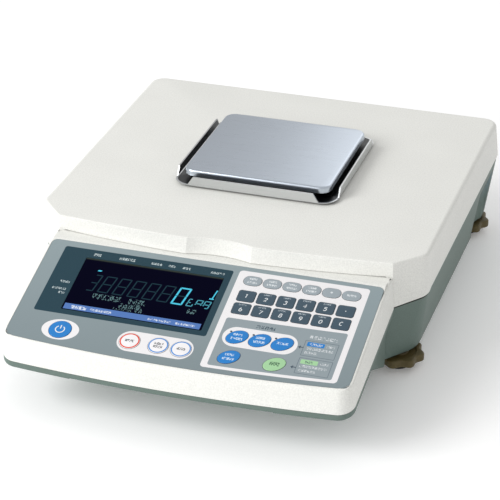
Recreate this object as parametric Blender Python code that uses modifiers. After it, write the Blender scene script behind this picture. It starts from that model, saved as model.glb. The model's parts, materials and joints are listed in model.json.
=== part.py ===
"""Bench counting scale with a sloping keypad console, built part by part.

X runs to the right, Y to the rear and Z up.  The scale stands on z = 0 with the middle
of its footprint at the origin.  Run with: blender --background --python part.py
"""
import math

import bmesh
import bpy
from mathutils import Matrix

# ---- driving dimensions, in metres --------------------------------------------------
PAN_WIDTH = 0.128
PAN_DEPTH = 0.123
PAN_TOP = 0.1225              # height of the pan above the table
PAN_Y = 0.0584                # weighing axis, behind the middle of the footprint
PAN_RIM = 0.0055
SHEET = 0.0012                # stainless sheet
GAP = 0.0003                  # between pieces that touch

COVER_WIDTH = 0.329
COVER_TOP = PAN_TOP - 0.013
COVER_WALL = 0.0025
COVER_EDGE = 0.003
SKIRT_BOTTOM = PAN_TOP - 0.048
SKIRT_DIP = 0.0055            # how much lower the skirt hangs at its front ridges
DIP_START = PAN_Y - 0.115
COVER_BACK = PAN_Y + 0.149
BACK_LEAN = 0.009
SIDE_LEAN = 0.001
SIDE_CORNER = PAN_Y - 0.126
RIDGE_X = 0.1415
RIDGE_Y = PAN_Y - 0.1492
FRONT_BOW = 0.0075
FRONT_LEAN = 0.0045
BAY_HALF = 0.0275
BAY_DEPTH = 0.005

BASE_BOTTOM = 0.0145
BASE_FLOOR = 0.0025
BASE_WALL = 0.003
BASE_BACK = PAN_Y + 0.161
BASE_HALF = 0.1555
BASE_SHOULDER = 0.0008        # how far the housing sits inside the skirt
LIP_TOP = PAN_TOP - 0.040
LIP_STEP = 0.004
GRIP_Y = PAN_Y + 0.113
GRIP_HALF = 0.027
GRIP_DEEP = 0.011
GRIP_TOP = PAN_TOP - 0.061

KEY_PITCH = 0.01617
GRID_LEFT = 0.0355            # middle of the grid's first column
GRID_COLUMNS = 6
GRID_RIGHT = GRID_LEFT + (GRID_COLUMNS - 1) * KEY_PITCH
GRID_MARGIN = 0.02315         # from the last column to the overlay's right edge
OVERLAY_HALF = GRID_RIGHT + GRID_MARGIN
CONSOLE_HALF = OVERLAY_HALF + 0.0025
CONSOLE_FRONT = PAN_Y - 0.2823
CONSOLE_BOW = 0.006
CONSOLE_BACK = RIDGE_Y - 0.0006
CONSOLE_CORNER = 0.012
CONSOLE_WALL = 0.0025
SLOPE = math.radians(16.1)
PANEL_Y = PAN_Y - 0.1659      # rear edge of the keypad overlay
PANEL_Z = PAN_TOP - 0.0265
BEND_Y = PANEL_Y + 0.0024
PARTING_BACK = PAN_TOP - 0.053
PARTING_SLOPE = 0.203
TRAY_DEEP = 0.006
TRAY_FLOOR = 0.0035
TRAY_RELIEF = (0.083, 0.016, 0.0018)     # half width, length and depth under the front
NECK_HALF = 0.137
NECK_REACH = 0.072

OVERLAY_LONG = 0.117
OVERLAY_THICK = 0.0008
RECESS = OVERLAY_THICK + GAP
KEY_UP = 0.0005
KEY_DOWN = 0.0034
BOARD = 0.0016
KEY_BOARD_TOP = 0.0042
KEY_BOARD_EDGE = 0.0095       # from the overlay's edge to the key board's
WINDOW = (-0.105, 0.0120, 0.0157, 0.0757)      # left, right, rear and front edges
WINDOW_THICK = 0.001
SIGHT_MARGIN = 0.003
BLOCK_MARGIN = 0.0105         # from the outer key centres to the edge of their hole
RING_MARGIN = 0.0094

FOOT_X = 0.140
FOOT_FRONT = PAN_Y - 0.115
FOOT_REAR = PAN_Y + 0.138
KNOB_RADIUS = 0.022
KNOB_LOBES = 8
KNOB_BOTTOM = 0.0055
KNOB_TALL = 0.007
PAD_RADIUS = 0.012
STUD_RADIUS = 0.004
STUD_BOTTOM = KNOB_BOTTOM + 0.002
STUD_TOP = 0.038
BOSS_RADIUS = 0.009
BOSS_TOP = 0.034

CELL_WIDE = 0.034
CELL_LONG = 0.130
CELL_TALL = 0.026
BLOCK_LONG = 0.036
BLOCK_TALL = 0.016
TOP_BLOCK_TALL = 0.010
SUPPORT_PLATE = 0.096
SUPPORT_THICK = 0.0026
POST_RADIUS = 0.010
POST_HOLE = 0.018

TRAY_WIDTH = 0.1428
TRAY_DEPTH = 0.1390
TRAY_FLANGE = 0.0087
REAR_FLANGE = 0.0078           # lower than the other three
TRAY_CORNER = 0.014
FLANGE_CUT = 0.005

# key centres on the panel: across from the middle, and down the slope
OVAL_ROW = 0.0144
DIGIT_ROWS = (0.0318, 0.0460)
BLUE_ROW = 0.0763
LOWER_ROW = 0.0982
POWER_KEY = (-0.0971, 0.0977)
RING_KEYS = (-0.0391, -0.0156, 0.0029)
BLUE_KEYS = (0.0415, 0.0597, 0.0779)
OVAL_SIZE = (0.0150, 0.0104, 0.0049)
DIGIT_SIZE = (0.0142, 0.0122, 0.0020)
BLUE_SIZE = (0.0182, 0.0132)
BLUE_TILT = math.radians(31)
POWER_ACROSS = 0.0183
RING_ACROSS = 0.0166


# ---- plane outlines ------------------------------------------------------------------
def rounded(corners, steps=4):
    """Points of a closed outline whose corners (x, y, radius) are arcs of circles."""
    points = []
    for index, (x, y, radius) in enumerate(corners):
        if radius == 0:
            points.append((x, y))
            continue
        before = corners[index - 1]
        after = corners[(index + 1) % len(corners)]
        start = math.atan2(before[1] - y, before[0] - x)
        end = math.atan2(after[1] - y, after[0] - x)
        half = abs(math.remainder(end - start, 2 * math.pi)) / 2
        middle = start + math.remainder(end - start, 2 * math.pi) / 2
        reach = radius / math.sin(half)
        centre = (x + reach * math.cos(middle), y + reach * math.sin(middle))
        swing = (math.pi / 2 - half) * math.copysign(1, math.remainder(end - start, 2 * math.pi))
        for step in range(steps + 1):
            angle = middle + math.pi + swing * (1 - 2 * step / steps)
            points.append((centre[0] + radius * math.cos(angle),
                           centre[1] + radius * math.sin(angle)))
    return points


def box_outline(width, depth, radius, centre=(0.0, 0.0)):
    """A rectangle with round corners."""
    x, y = width / 2, depth / 2
    corners = [(x, y), (-x, y), (-x, -y), (x, -y)]
    return rounded([(centre[0] + a, centre[1] + b, radius) for a, b in corners])


def ellipse(width, depth, centre=(0.0, 0.0), count=24, tilt=0.0):
    """An ellipse of the given full width and depth, turned by a tilt."""
    turns = [2 * math.pi * step / count for step in range(count)]
    points = [(width / 2 * math.cos(turn), depth / 2 * math.sin(turn)) for turn in turns]
    return [(centre[0] + x * math.cos(tilt) - y * math.sin(tilt),
             centre[1] + x * math.sin(tilt) + y * math.cos(tilt)) for x, y in points]


def inset(points, distance):
    """The same closed outline, moved inwards by a distance."""
    moved = []
    for index, (x, y) in enumerate(points):
        before = points[index - 1]
        after = points[(index + 1) % len(points)]
        first = math.atan2(y - before[1], x - before[0])
        turn = math.remainder(math.atan2(after[1] - y, after[0] - x) - first, 2 * math.pi)
        side = first + turn / 2 + math.pi / 2
        reach = distance / math.cos(turn / 2)
        moved.append((x + reach * math.cos(side), y + reach * math.sin(side)))
    return moved


def cover_outline(half, back, lean):
    """Plan of the cover: straight sides, cut front corners, bowed front with a finger bay."""
    def front(x):
        share = 1 - (x / RIDGE_X) ** 2
        bay = BAY_DEPTH * (1 - (x / BAY_HALF) ** 2) if abs(x) < BAY_HALF else 0.0
        return RIDGE_Y - (FRONT_BOW + lean) * share + bay

    right = [0.009, 0.018, BAY_HALF, 0.054, 0.083, 0.112, NOTCH_X, NOTCH_X + 0.0001]
    across = [-x for x in reversed(right)] + [0.0] + right
    corners = [(RIDGE_X, RIDGE_Y, 0), (half, SIDE_CORNER, 0.014), (half, DIP_START, 0),
               (half, back, 0.013), (-half, back, 0.013), (-half, DIP_START, 0),
               (-half, SIDE_CORNER, 0.014), (-RIDGE_X, RIDGE_Y, 0)]
    return rounded(corners) + [(x, front(x)) for x in across]


NOTCH_X = RIDGE_X - COVER_WALL


def base_outline(half, back, side_y, ridge_x, corner):
    """Plan of the base housing: the cover's plan with a straight front."""
    front = RIDGE_Y + 0.001
    straight = max(side_y + corner / 2, DIP_START)
    return rounded([(ridge_x, front, 0), (half, side_y, corner), (half, straight, 0),
                    (half, back, 0.013), (-half, back, 0.013), (-half, straight, 0),
                    (-half, side_y, corner), (-ridge_x, front, 0)])


def console_outline(half):
    """Plan of the console: straight back and sides, bowed front, round front corners."""
    def front(x):
        return CONSOLE_FRONT + CONSOLE_BOW * (x / half) ** 2

    middle = [(x, front(x), 0) for x in (-0.11, -0.075, -0.038, 0.0, 0.038, 0.075, 0.11)]
    return rounded([(half, CONSOLE_BACK, 0), (-half, CONSOLE_BACK, 0), (-half, BEND_Y, 0),
                    (-half, front(half), CONSOLE_CORNER), *middle,
                    (half, front(half), CONSOLE_CORNER), (half, BEND_Y, 0)])


def skirt_height(x, y):
    """Height of the cover's lower edge, which steps up over the console."""
    if abs(x) <= NOTCH_X and y < SIDE_CORNER:
        return console_height(BEND_Y) + GAP
    share = (DIP_START - y) / (DIP_START - RIDGE_Y)
    return SKIRT_BOTTOM - SKIRT_DIP * min(max(share, 0.0), 1.0)


def console_height(y):
    """Height of the console's top: sloping at the front, flat behind the overlay."""
    return PANEL_Z + (min(y, BEND_Y) - PANEL_Y) * math.tan(SLOPE)


def parting_height(y):
    """Height of the joint between the console's two halves."""
    return PARTING_BACK - PARTING_SLOPE * (CONSOLE_BACK - y)


# ---- object helpers ------------------------------------------------------------------
def material(name, colour, roughness, metallic=0.0):
    """A plain Principled material."""
    made = bpy.data.materials.get(name) or bpy.data.materials.new(name)
    made.use_nodes = True
    shader = made.node_tree.nodes["Principled BSDF"]
    shader.inputs["Base Color"].default_value = (*colour, 1.0)
    shader.inputs["Roughness"].default_value = roughness
    shader.inputs["Metallic"].default_value = metallic
    return made


def add_object(name, mesh, finish, parent=None, location=(0.0, 0.0, 0.0)):
    """Link a mesh as a part, or as a cutter when it has no finish."""
    made = bpy.data.objects.new(name, mesh)
    if finish:
        mesh.materials.append(finish)
        PARTS.objects.link(made)
    else:
        CUTTERS.objects.link(made)
        made.hide_render = True
        made.display_type = "WIRE"
    made.parent = parent
    made.location = location
    return made


def finish_mesh(name, shape):
    """Turn an edited mesh into mesh data with outward faces."""
    bmesh.ops.remove_doubles(shape, verts=shape.verts, dist=1e-6)
    bmesh.ops.recalc_face_normals(shape, faces=shape.faces)
    mesh = bpy.data.meshes.new(name)
    shape.to_mesh(mesh)
    shape.free()
    return mesh


def plate(name, loops, low, high, finish=None, turn=None, **place):
    """A flat piece: closed loops filled and extruded, the first one outside the others."""
    drawing = bpy.data.curves.new(name + "_loops", "CURVE")
    drawing.dimensions = "2D"
    drawing.fill_mode = "BOTH"
    drawing.extrude = (high - low) / 2
    for loop in loops:
        spline = drawing.splines.new("POLY")
        spline.points.add(len(loop) - 1)
        spline.use_cyclic_u = True
        for slot, (x, y) in zip(spline.points, loop):
            slot.co = (x, y, 0.0, 1.0)
    holder = bpy.data.objects.new(name + "_loops", drawing)
    CUTTERS.objects.link(holder)
    graph = bpy.context.evaluated_depsgraph_get()
    filled = bpy.data.meshes.new_from_object(holder.evaluated_get(graph))
    shape = bmesh.new()
    shape.from_mesh(filled)
    bmesh.ops.translate(shape, verts=shape.verts, vec=(0.0, 0.0, (low + high) / 2))
    if turn:
        bmesh.ops.transform(shape, verts=shape.verts, matrix=turn)
    bpy.data.meshes.remove(filled)
    bpy.data.objects.remove(holder)
    bpy.data.curves.remove(drawing)
    return add_object(name, finish_mesh(name, shape), finish, **place)


def loft(name, rings, finish=None, folded=False, **place):
    """A closed solid skinned over rings with equal numbers of points.

    A folded end is two faces that meet along the line through points 2 and -1.
    """
    shape = bmesh.new()
    rows = [[shape.verts.new(point) for point in ring] for ring in rings]
    for lower, upper in zip(rows, rows[1:]):
        for index in range(len(lower)):
            shape.faces.new((lower[index - 1], lower[index], upper[index], upper[index - 1]))
    for row in (rows[0], rows[-1]):
        if folded:
            shape.faces.new((*row[:3], row[-1]))
            shape.faces.new(row[2:])
        else:
            shape.faces.new(row)
    return add_object(name, finish_mesh(name, shape), finish, **place)


def box(name, low, high, finish=None, **place):
    """A box between two corners."""
    shape = bmesh.new()
    bmesh.ops.create_cube(shape, size=1.0)
    size = [b - a for a, b in zip(low, high)]
    bmesh.ops.scale(shape, verts=shape.verts, vec=size)
    bmesh.ops.translate(shape, verts=shape.verts, vec=[(a + b) / 2 for a, b in zip(low, high)])
    return add_object(name, finish_mesh(name, shape), finish, **place)


def rod(name, radius, low, high, finish=None, centre=(0.0, 0.0), count=24, **place):
    """An upright cylinder."""
    shape = bmesh.new()
    bmesh.ops.create_cone(shape, cap_ends=True, segments=count, radius1=radius,
                          radius2=radius, depth=high - low)
    bmesh.ops.translate(shape, verts=shape.verts, vec=(*centre, (low + high) / 2))
    return add_object(name, finish_mesh(name, shape), finish, **place)


def combine(part, tool, operation="DIFFERENCE"):
    """Cut a part with another solid, or join the solid to it."""
    step = part.modifiers.new(tool.name, "BOOLEAN")
    step.operation = operation
    step.object = tool


def at_height(points, height):
    """Lift a plane outline to a height, or to a height found from each point."""
    if callable(height):
        return [(x, y, height(x, y)) for x, y in points]
    return [(x, y, height) for x, y in points]


# maps a profile drawn as (y, z) and extruded to a solid that runs along X
ALONG_X = Matrix(((0, 0, 1, 0), (1, 0, 0, 0), (0, 1, 0, 0), (0, 0, 0, 1)))
# maps a profile drawn as (x, z) and extruded to a solid that runs along -Y
ALONG_Y = Matrix(((1, 0, 0, 0), (0, 0, -1, 0), (0, 1, 0, 0), (0, 0, 0, 1)))


# ---- base ---------------------------------------------------------------------------
def build_base():
    """Open tub with a stepped rim, four screw bosses and two hand grips."""
    wall = base_outline(COVER_WIDTH / 2 + SIDE_LEAN - BASE_SHOULDER,
                        COVER_BACK + BACK_LEAN - BASE_SHOULDER,
                        SIDE_CORNER + BASE_SHOULDER / 2, RIDGE_X - BASE_SHOULDER, 0.014)
    foot = base_outline(BASE_HALF, BASE_BACK, PAN_Y - 0.1135, 0.1285, 0.034)
    lip = inset(wall, LIP_STEP)

    def shoulder(x, y):
        share = (DIP_START - y) / (DIP_START - RIDGE_Y)
        return SKIRT_BOTTOM - 0.0005 - SKIRT_DIP * min(max(share, 0.0), 1.0)

    rings = [at_height(inset(foot, 0.002), BASE_BOTTOM), at_height(foot, BASE_BOTTOM + 0.002),
             at_height(wall, shoulder)]
    step = [(x, y, shoulder(*edge)) for (x, y), edge in zip(lip, wall)]
    base = loft("base_housing", rings + [step, at_height(lip, LIP_TOP)], BASE_FINISH)

    floor = BASE_BOTTOM + BASE_FLOOR
    hollow = loft("base_hollow", [at_height(inset(foot, BASE_WALL), floor),
                                  at_height(inset(wall, LIP_STEP + BASE_WALL), LIP_TOP + 0.01)])
    for side in (-1, 1):
        grip = (side * COVER_WIDTH / 2, GRIP_Y)
        liner = plate(f"grip_liner_{side}", [ellipse(2 * (GRIP_DEEP + BASE_WALL + 0.003),
                      2 * (GRIP_HALF + BASE_WALL), grip, 32)], floor - 0.001,
                      GRIP_TOP + BASE_WALL)
        combine(hollow, liner)
    feet = [(x, y) for x in (-FOOT_X, FOOT_X) for y in (FOOT_FRONT, FOOT_REAR)]
    for index, centre in enumerate(feet):
        boss = rod(f"boss_{index}", BOSS_RADIUS, floor - 0.001, BOSS_TOP, centre=centre)
        combine(hollow, boss)
    combine(base, hollow)
    for side in (-1, 1):
        grip = (side * COVER_WIDTH / 2, GRIP_Y)
        scoop = plate(f"grip_scoop_{side}", [ellipse(2 * (GRIP_DEEP + 0.003), 2 * GRIP_HALF,
                                                     grip, 32)], 0.0, GRIP_TOP)
        combine(base, scoop)
    for index, centre in enumerate(feet):
        combine(base, rod(f"stud_hole_{index}", STUD_RADIUS + GAP, 0.0, 0.05, centre=centre))
    for name, (x, z, width, height) in REAR_HOLES.items():
        low = (x - width / 2, BASE_BACK - 0.02, z - height / 2)
        combine(base, box(name, low, (x + width / 2, BASE_BACK + 0.01, z + height / 2)))


def build_feet():
    """Four levelling feet: a lobed knob on the lower end of its stud, over a swivelling pad."""
    lobes = [2 * math.pi * step / (KNOB_LOBES * 6) for step in range(KNOB_LOBES * 6)]
    reach = [KNOB_RADIUS - 0.0016 * (1 - math.cos(KNOB_LOBES * turn)) for turn in lobes]
    edge = [(r * math.cos(turn), r * math.sin(turn)) for r, turn in zip(reach, lobes)]
    for end, y in (("front", FOOT_FRONT), ("rear", FOOT_REAR)):
        for side, x in (("left", -FOOT_X), ("right", FOOT_X)):
            tag = f"{end}_{side}"
            place = {"location": (x, y, 0.0)}
            knob = plate(f"foot_knob_{tag}", [edge], KNOB_BOTTOM, KNOB_BOTTOM + KNOB_TALL,
                         KNOB_FINISH, **place)
            bore = rod(f"stud_bore_{tag}", STUD_RADIUS + GAP, STUD_BOTTOM - GAP, STUD_TOP,
                       **place)
            combine(knob, bore)
            rod(f"foot_stud_{tag}", STUD_RADIUS, STUD_BOTTOM, STUD_TOP, STEEL_FINISH, **place)
            rod(f"foot_pad_{tag}", PAD_RADIUS, 0.0, KNOB_BOTTOM - GAP, RUBBER_FINISH, **place)


# ---- top cover, pan and load cell -----------------------------------------------------
def build_cover():
    """Thin cover: its skirt steps up over the console between two ridges."""
    half = COVER_WIDTH / 2
    top = cover_outline(half, COVER_BACK, 0.0)
    low = cover_outline(half + SIDE_LEAN, COVER_BACK + BACK_LEAN, FRONT_LEAN)
    inner_low = inset(low, COVER_WALL)
    rings = [at_height(inset(top, COVER_WALL), COVER_TOP - COVER_WALL),
             [(x, y, skirt_height(*edge)) for (x, y), edge in zip(inner_low, low)],
             at_height(low, skirt_height),
             at_height(top, COVER_TOP - COVER_EDGE)]
    for turn in (30, 60, 90):
        angle = math.radians(turn)
        rings.append(at_height(inset(top, COVER_EDGE * (1 - math.cos(angle))),
                               COVER_TOP - COVER_EDGE * (1 - math.sin(angle))))
    cover = loft("top_cover", rings, COVER_FINISH)
    combine(cover, rod("post_hole", POST_HOLE, COVER_TOP - 0.01, COVER_TOP + 0.01,
                       centre=(0.0, PAN_Y)))


def sheet_solid(name, shape, finish, **place):
    """Give an open sheet surface its thickness."""
    made = add_object(name, finish_mesh(name, shape), finish, **place)
    skin = made.modifiers.new("sheet", "SOLIDIFY")
    skin.thickness = SHEET
    skin.offset = -1.0
    skin.use_even_offset = True
    return made


def build_pan():
    """Pressed stainless pan with a turned-down rim."""
    outline = box_outline(PAN_WIDTH, PAN_DEPTH, 0.009)
    shape = bmesh.new()
    levels = [(0.002, 0.0), (0.0006, -0.0006), (0.0, -0.002), (0.0, -PAN_RIM)]
    rows = [[shape.verts.new(point) for point in at_height(inset(outline, back), height)]
            for back, height in levels]
    shape.faces.new(rows[0])
    for upper, lower in zip(rows, rows[1:]):
        for index in range(len(upper)):
            shape.faces.new((lower[index - 1], lower[index], upper[index], upper[index - 1]))
    sheet_solid("weighing_pan", shape, PAN_FINISH, location=(0.0, PAN_Y, PAN_TOP))


def build_tray():
    """Stainless tray round the pan: four upright flanges with slanting ends."""
    outline = box_outline(TRAY_WIDTH, TRAY_DEPTH, TRAY_CORNER)
    shape = bmesh.new()
    row = [shape.verts.new((x, y, 0.0)) for x, y in outline]
    steps = len(outline) // 4
    for side in range(4):
        first, last = row[side * steps + steps - 1], row[(side * steps + steps) % len(row)]
        along = (last.co - first.co).normalized() * FLANGE_CUT
        raised = [shape.verts.new(spot + along * sign) for spot, sign in
                  ((first.co, 1), (last.co, -1))]
        for vert in raised:
            vert.co.z = REAR_FLANGE if min(first.co.y, last.co.y) > 0 else TRAY_FLANGE
        shape.faces.new((first, last, raised[1], raised[0]))
    shape.faces.new(row)
    tray = sheet_solid("pan_tray", shape, PAN_FINISH,
                       location=(0.0, PAN_Y, COVER_TOP + GAP + SHEET))
    hole = rod("tray_hole", POST_HOLE - 0.002, -0.01, 0.01, location=tray.location)
    combine(tray, hole)


def build_load_path():
    """Load cell on its base block, and the post that carries the pan."""
    floor = BASE_BOTTOM + BASE_FLOOR + GAP
    side = CELL_WIDE / 2
    rear, front = PAN_Y + CELL_LONG / 2, PAN_Y - CELL_LONG / 2
    box("load_cell_base_block", (-side, rear - BLOCK_LONG, floor),
        (side, rear, floor + BLOCK_TALL), ALLOY_FINISH)
    low = floor + BLOCK_TALL + GAP
    middle = low + CELL_TALL / 2
    slot = rounded([(PAN_Y + 0.026, middle + 0.009, 0.0089), (PAN_Y - 0.026, middle + 0.009, 0.0089),
                    (PAN_Y - 0.026, middle - 0.009, 0.0089), (PAN_Y + 0.026, middle - 0.009, 0.0089)])
    beam = [(rear, low), (rear, low + CELL_TALL), (front, low + CELL_TALL), (front, low)]
    plate("load_cell", [beam, slot], -side, side, ALLOY_FINISH, turn=ALONG_X)
    low += CELL_TALL + GAP
    box("load_cell_top_block", (-side, front, low), (side, front + BLOCK_LONG,
                                                     low + TOP_BLOCK_TALL), ALLOY_FINISH)
    low += TOP_BLOCK_TALL + GAP
    support = box("pan_support", (-side, front, low), (side, PAN_Y + side, low + 0.005),
                  ALLOY_FINISH)
    high = PAN_TOP - SHEET - GAP
    combine(support, rod("post", POST_RADIUS, low + 0.002, high - 0.001, centre=(0.0, PAN_Y)),
            "UNION")
    combine(support, plate("post_head", [box_outline(SUPPORT_PLATE, SUPPORT_PLATE, 0.012,
                                                     (0.0, PAN_Y))], high - SUPPORT_THICK, high),
            "UNION")
    rod("overload_stop", 0.004, floor, floor + BLOCK_TALL - 0.0005, STEEL_FINISH,
        centre=(0.0, front + 0.012), count=16)


# ---- console --------------------------------------------------------------------------
def panel_rectangle(left, right, rear, front, radius):
    """A rectangle on the panel, given by its edges across and down the slope."""
    centre = ((left + right) / 2, -(rear + front) / 2)
    return box_outline(right - left, front - rear, radius, centre)


def overlay_outline(spare=0.0):
    """Outline of the keypad overlay, with a bowed front edge."""
    half = OVERLAY_HALF + spare
    long = OVERLAY_LONG + spare
    bow = [(x, -long + CONSOLE_BOW * (x / half) ** 2, 0)
           for x in (-0.105, -0.07, -0.035, 0.0, 0.035, 0.07, 0.105)]
    front = -long + CONSOLE_BOW
    return rounded([(half, spare, 0.005), (-half, spare, 0.005), (-half, front, 0.005), *bow,
                    (half, front, 0.005)])


def build_console_cases(panel):
    """White upper case, sunk for the overlay, over a shallow grey-green lower case."""
    top = console_outline(CONSOLE_HALF)
    low = console_outline(CONSOLE_HALF + 0.0015)
    wall = CONSOLE_WALL
    rings = [at_height(inset(top, wall), lambda x, y: console_height(y) - wall - RECESS),
             [(x, y, parting_height(y) + GAP / 2) for x, y in inset(low, wall)],
             [(x, y, parting_height(y) + GAP / 2) for x, y in low],
             at_height(top, lambda x, y: console_height(y) - 0.002)]
    for back, down in ((0.0006, 0.0006), (0.002, 0.0)):
        rings.append([(x, y, console_height(y) - down) for x, y in inset(top, back)])
    case = loft("console_top_case", rings, COVER_FINISH, folded=True)
    cuts = {"overlay_recess": (overlay_outline(GAP), -RECESS, 0.02)}
    left, right, rear, front = WINDOW
    sight = panel_rectangle(left + SIGHT_MARGIN, right - SIGHT_MARGIN, rear + SIGHT_MARGIN,
                            front - SIGHT_MARGIN, 0.001)
    cuts["sight_hole"] = (sight, -0.01, 0.01)
    block = panel_rectangle(GRID_LEFT - BLOCK_MARGIN, GRID_RIGHT + BLOCK_MARGIN,
                            OVAL_ROW - 0.0064, LOWER_ROW + 0.0078, 0.002)
    cuts["key_block_hole"] = (block, -0.01, 0.01)
    power = ellipse(POWER_ACROSS + 0.002, POWER_ACROSS + 0.002, (POWER_KEY[0], -POWER_KEY[1]))
    cuts["power_key_hole"] = (power, -0.01, 0.01)
    rings = panel_rectangle(RING_KEYS[0] - RING_MARGIN, RING_KEYS[-1] + RING_MARGIN,
                            LOWER_ROW - RING_MARGIN, LOWER_ROW + RING_MARGIN, 0.004)
    cuts["ring_key_hole"] = (rings, -0.01, 0.01)
    for name, (outline, deep, high) in cuts.items():
        combine(case, plate(name, [outline], deep, high, parent=panel))
    combine(case, box("cable_hole", (-0.080, CONSOLE_BACK - 0.01, PAN_TOP - 0.041),
                      (-0.040, CONSOLE_BACK + 0.01, PAN_TOP - 0.032)))

    rings = [[(x, y, parting_height(y) - TRAY_DEEP) for x, y in inset(low, 0.0015)],
             [(x, y, parting_height(y) - TRAY_DEEP + 0.0015) for x, y in low],
             [(x, y, parting_height(y) - GAP / 2) for x, y in low]]
    lower = loft("console_bottom_case", rings, BASE_FINISH)
    back, under = CONSOLE_BACK, BASE_BOTTOM + 0.0015
    rise = parting_height(back - NECK_REACH) - TRAY_DEEP + 0.001
    neck = plate("neck", [[(back, under), (back, parting_height(back) - 0.002),
                           (back - NECK_REACH, rise)]], -NECK_HALF, NECK_HALF, turn=ALONG_X)
    combine(lower, neck, "UNION")
    inner = inset(low, wall)
    floor = TRAY_FLOOR - TRAY_DEEP
    hollow = loft("tray_hollow", [[(x, y, parting_height(y) + floor) for x, y in inner],
                                  [(x, y, parting_height(y) + 0.004) for x, y in inner]])
    combine(lower, hollow)
    half, length, deep = TRAY_RELIEF
    near, far = CONSOLE_FRONT - 0.002, CONSOLE_FRONT + length
    relief = plate("tray_relief", [[(far, parting_height(far) - TRAY_DEEP - 0.004),
                                    (far, parting_height(far) - TRAY_DEEP + deep),
                                    (near, parting_height(near) - TRAY_DEEP + deep),
                                    (near, parting_height(near) - TRAY_DEEP - 0.004)]],
                   -half, half, turn=ALONG_X)
    combine(lower, relief)
    shift = wall + 0.0025
    neck_hollow = plate("neck_hollow", [[(back - wall, under + shift), (back - wall, PAN_TOP),
                        (back - NECK_REACH + 0.008, PAN_TOP),
                        (back - NECK_REACH + 0.008, rise - 0.002)]],
                        wall - NECK_HALF, NECK_HALF - wall, turn=ALONG_X)
    combine(lower, neck_hollow)


def key_table():
    """Every key: name, place across, place down the slope, outline and finish."""
    keys = []
    for index in range(GRID_COLUMNS):
        across = GRID_LEFT + index * KEY_PITCH
        keys.append((f"key_function_{index + 1}", across, OVAL_ROW, box_outline(*OVAL_SIZE),
                     OVAL_FINISH))
    names = (("1", "2", "3", "4", "5", "point"), ("6", "7", "8", "9", "0", "clear"))
    for row, down in zip(names, DIGIT_ROWS):
        for index, name in enumerate(row):
            keys.append((f"key_{name}", GRID_LEFT + index * KEY_PITCH, down,
                         box_outline(*DIGIT_SIZE), DIGIT_FINISH))
    tilted = ellipse(*BLUE_SIZE, tilt=BLUE_TILT)
    for name, across in zip(("unit_weight", "sample", "tare_entry"), BLUE_KEYS):
        keys.append((f"key_{name}", across, BLUE_ROW, tilted, BLUE_FINISH))
    keys.append(("key_recall", BLUE_KEYS[0], LOWER_ROW, tilted, BLUE_FINISH))
    keys.append(("key_enter", BLUE_KEYS[2], LOWER_ROW, tilted, GREEN_FINISH))
    keys.append(("key_power", *POWER_KEY, ellipse(POWER_ACROSS, POWER_ACROSS), BLUE_FINISH))
    for name, across in zip(("zero", "tare", "mode"), RING_KEYS):
        keys.append((f"key_{name}", across, LOWER_ROW, ellipse(RING_ACROSS, RING_ACROSS),
                     WHITE_KEY_FINISH))
    return keys


def build_panel(panel):
    """Overlay with its window and keys, and the boards and display under it."""
    keys = key_table()
    left, right, rear, front = WINDOW
    holes = [panel_rectangle(left, right, rear, front, 0.001)]
    for name, across, down, outline, finish in keys:
        holes.append([(across + x, y - down) for x, y in inset(outline, -GAP)])
        plate(name, [outline], -KEY_DOWN, KEY_UP, finish, parent=panel,
              location=(across, -down, 0.0))
    plate("keypad_overlay", [overlay_outline(), *holes], -OVERLAY_THICK, 0.0, OVERLAY_FINISH,
          parent=panel)
    glass = panel_rectangle(left + GAP, right - GAP, rear + GAP, front - GAP, 0.0008)
    plate("display_window", [glass], -WINDOW_THICK, -0.00005, WINDOW_FINISH, parent=panel)
    opening = panel_rectangle(left, right, rear, front, 0.001)
    edge = OVERLAY_HALF - KEY_BOARD_EDGE
    board = panel_rectangle(-edge, edge, 0.004, 0.1085, 0.004)
    plate("key_board", [board, opening], -KEY_BOARD_TOP - BOARD, -KEY_BOARD_TOP, BOARD_FINISH,
          parent=panel)
    tube = panel_rectangle(left + 0.005, right - 0.005, rear + 0.006, front - 0.006, 0.001)
    plate("display_tube", [tube], -0.0115, -0.0036, WINDOW_FINISH, parent=panel)
    plate("display_board", [panel_rectangle(left + 0.001, right - 0.001, rear + 0.001,
                                            front - 0.001, 0.002)],
          -0.0115 - GAP - BOARD, -0.0115 - GAP, BOARD_FINISH, parent=panel)
    rod("buzzer", 0.009, -0.0115, -KEY_BOARD_TOP - BOARD - GAP, STEEL_FINISH, parent=panel,
        location=(-0.117, -0.050, 0.0), count=20)


# ---- electronics in the base ------------------------------------------------------------
JACK_X, PORT_X, REAR_Z = -0.100, -0.060, 0.034
REAR_HOLES = {"jack_hole": (JACK_X, REAR_Z, 0.0106, 0.0126),
              "port_hole": (PORT_X, REAR_Z, 0.0190, 0.0100)}


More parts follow.
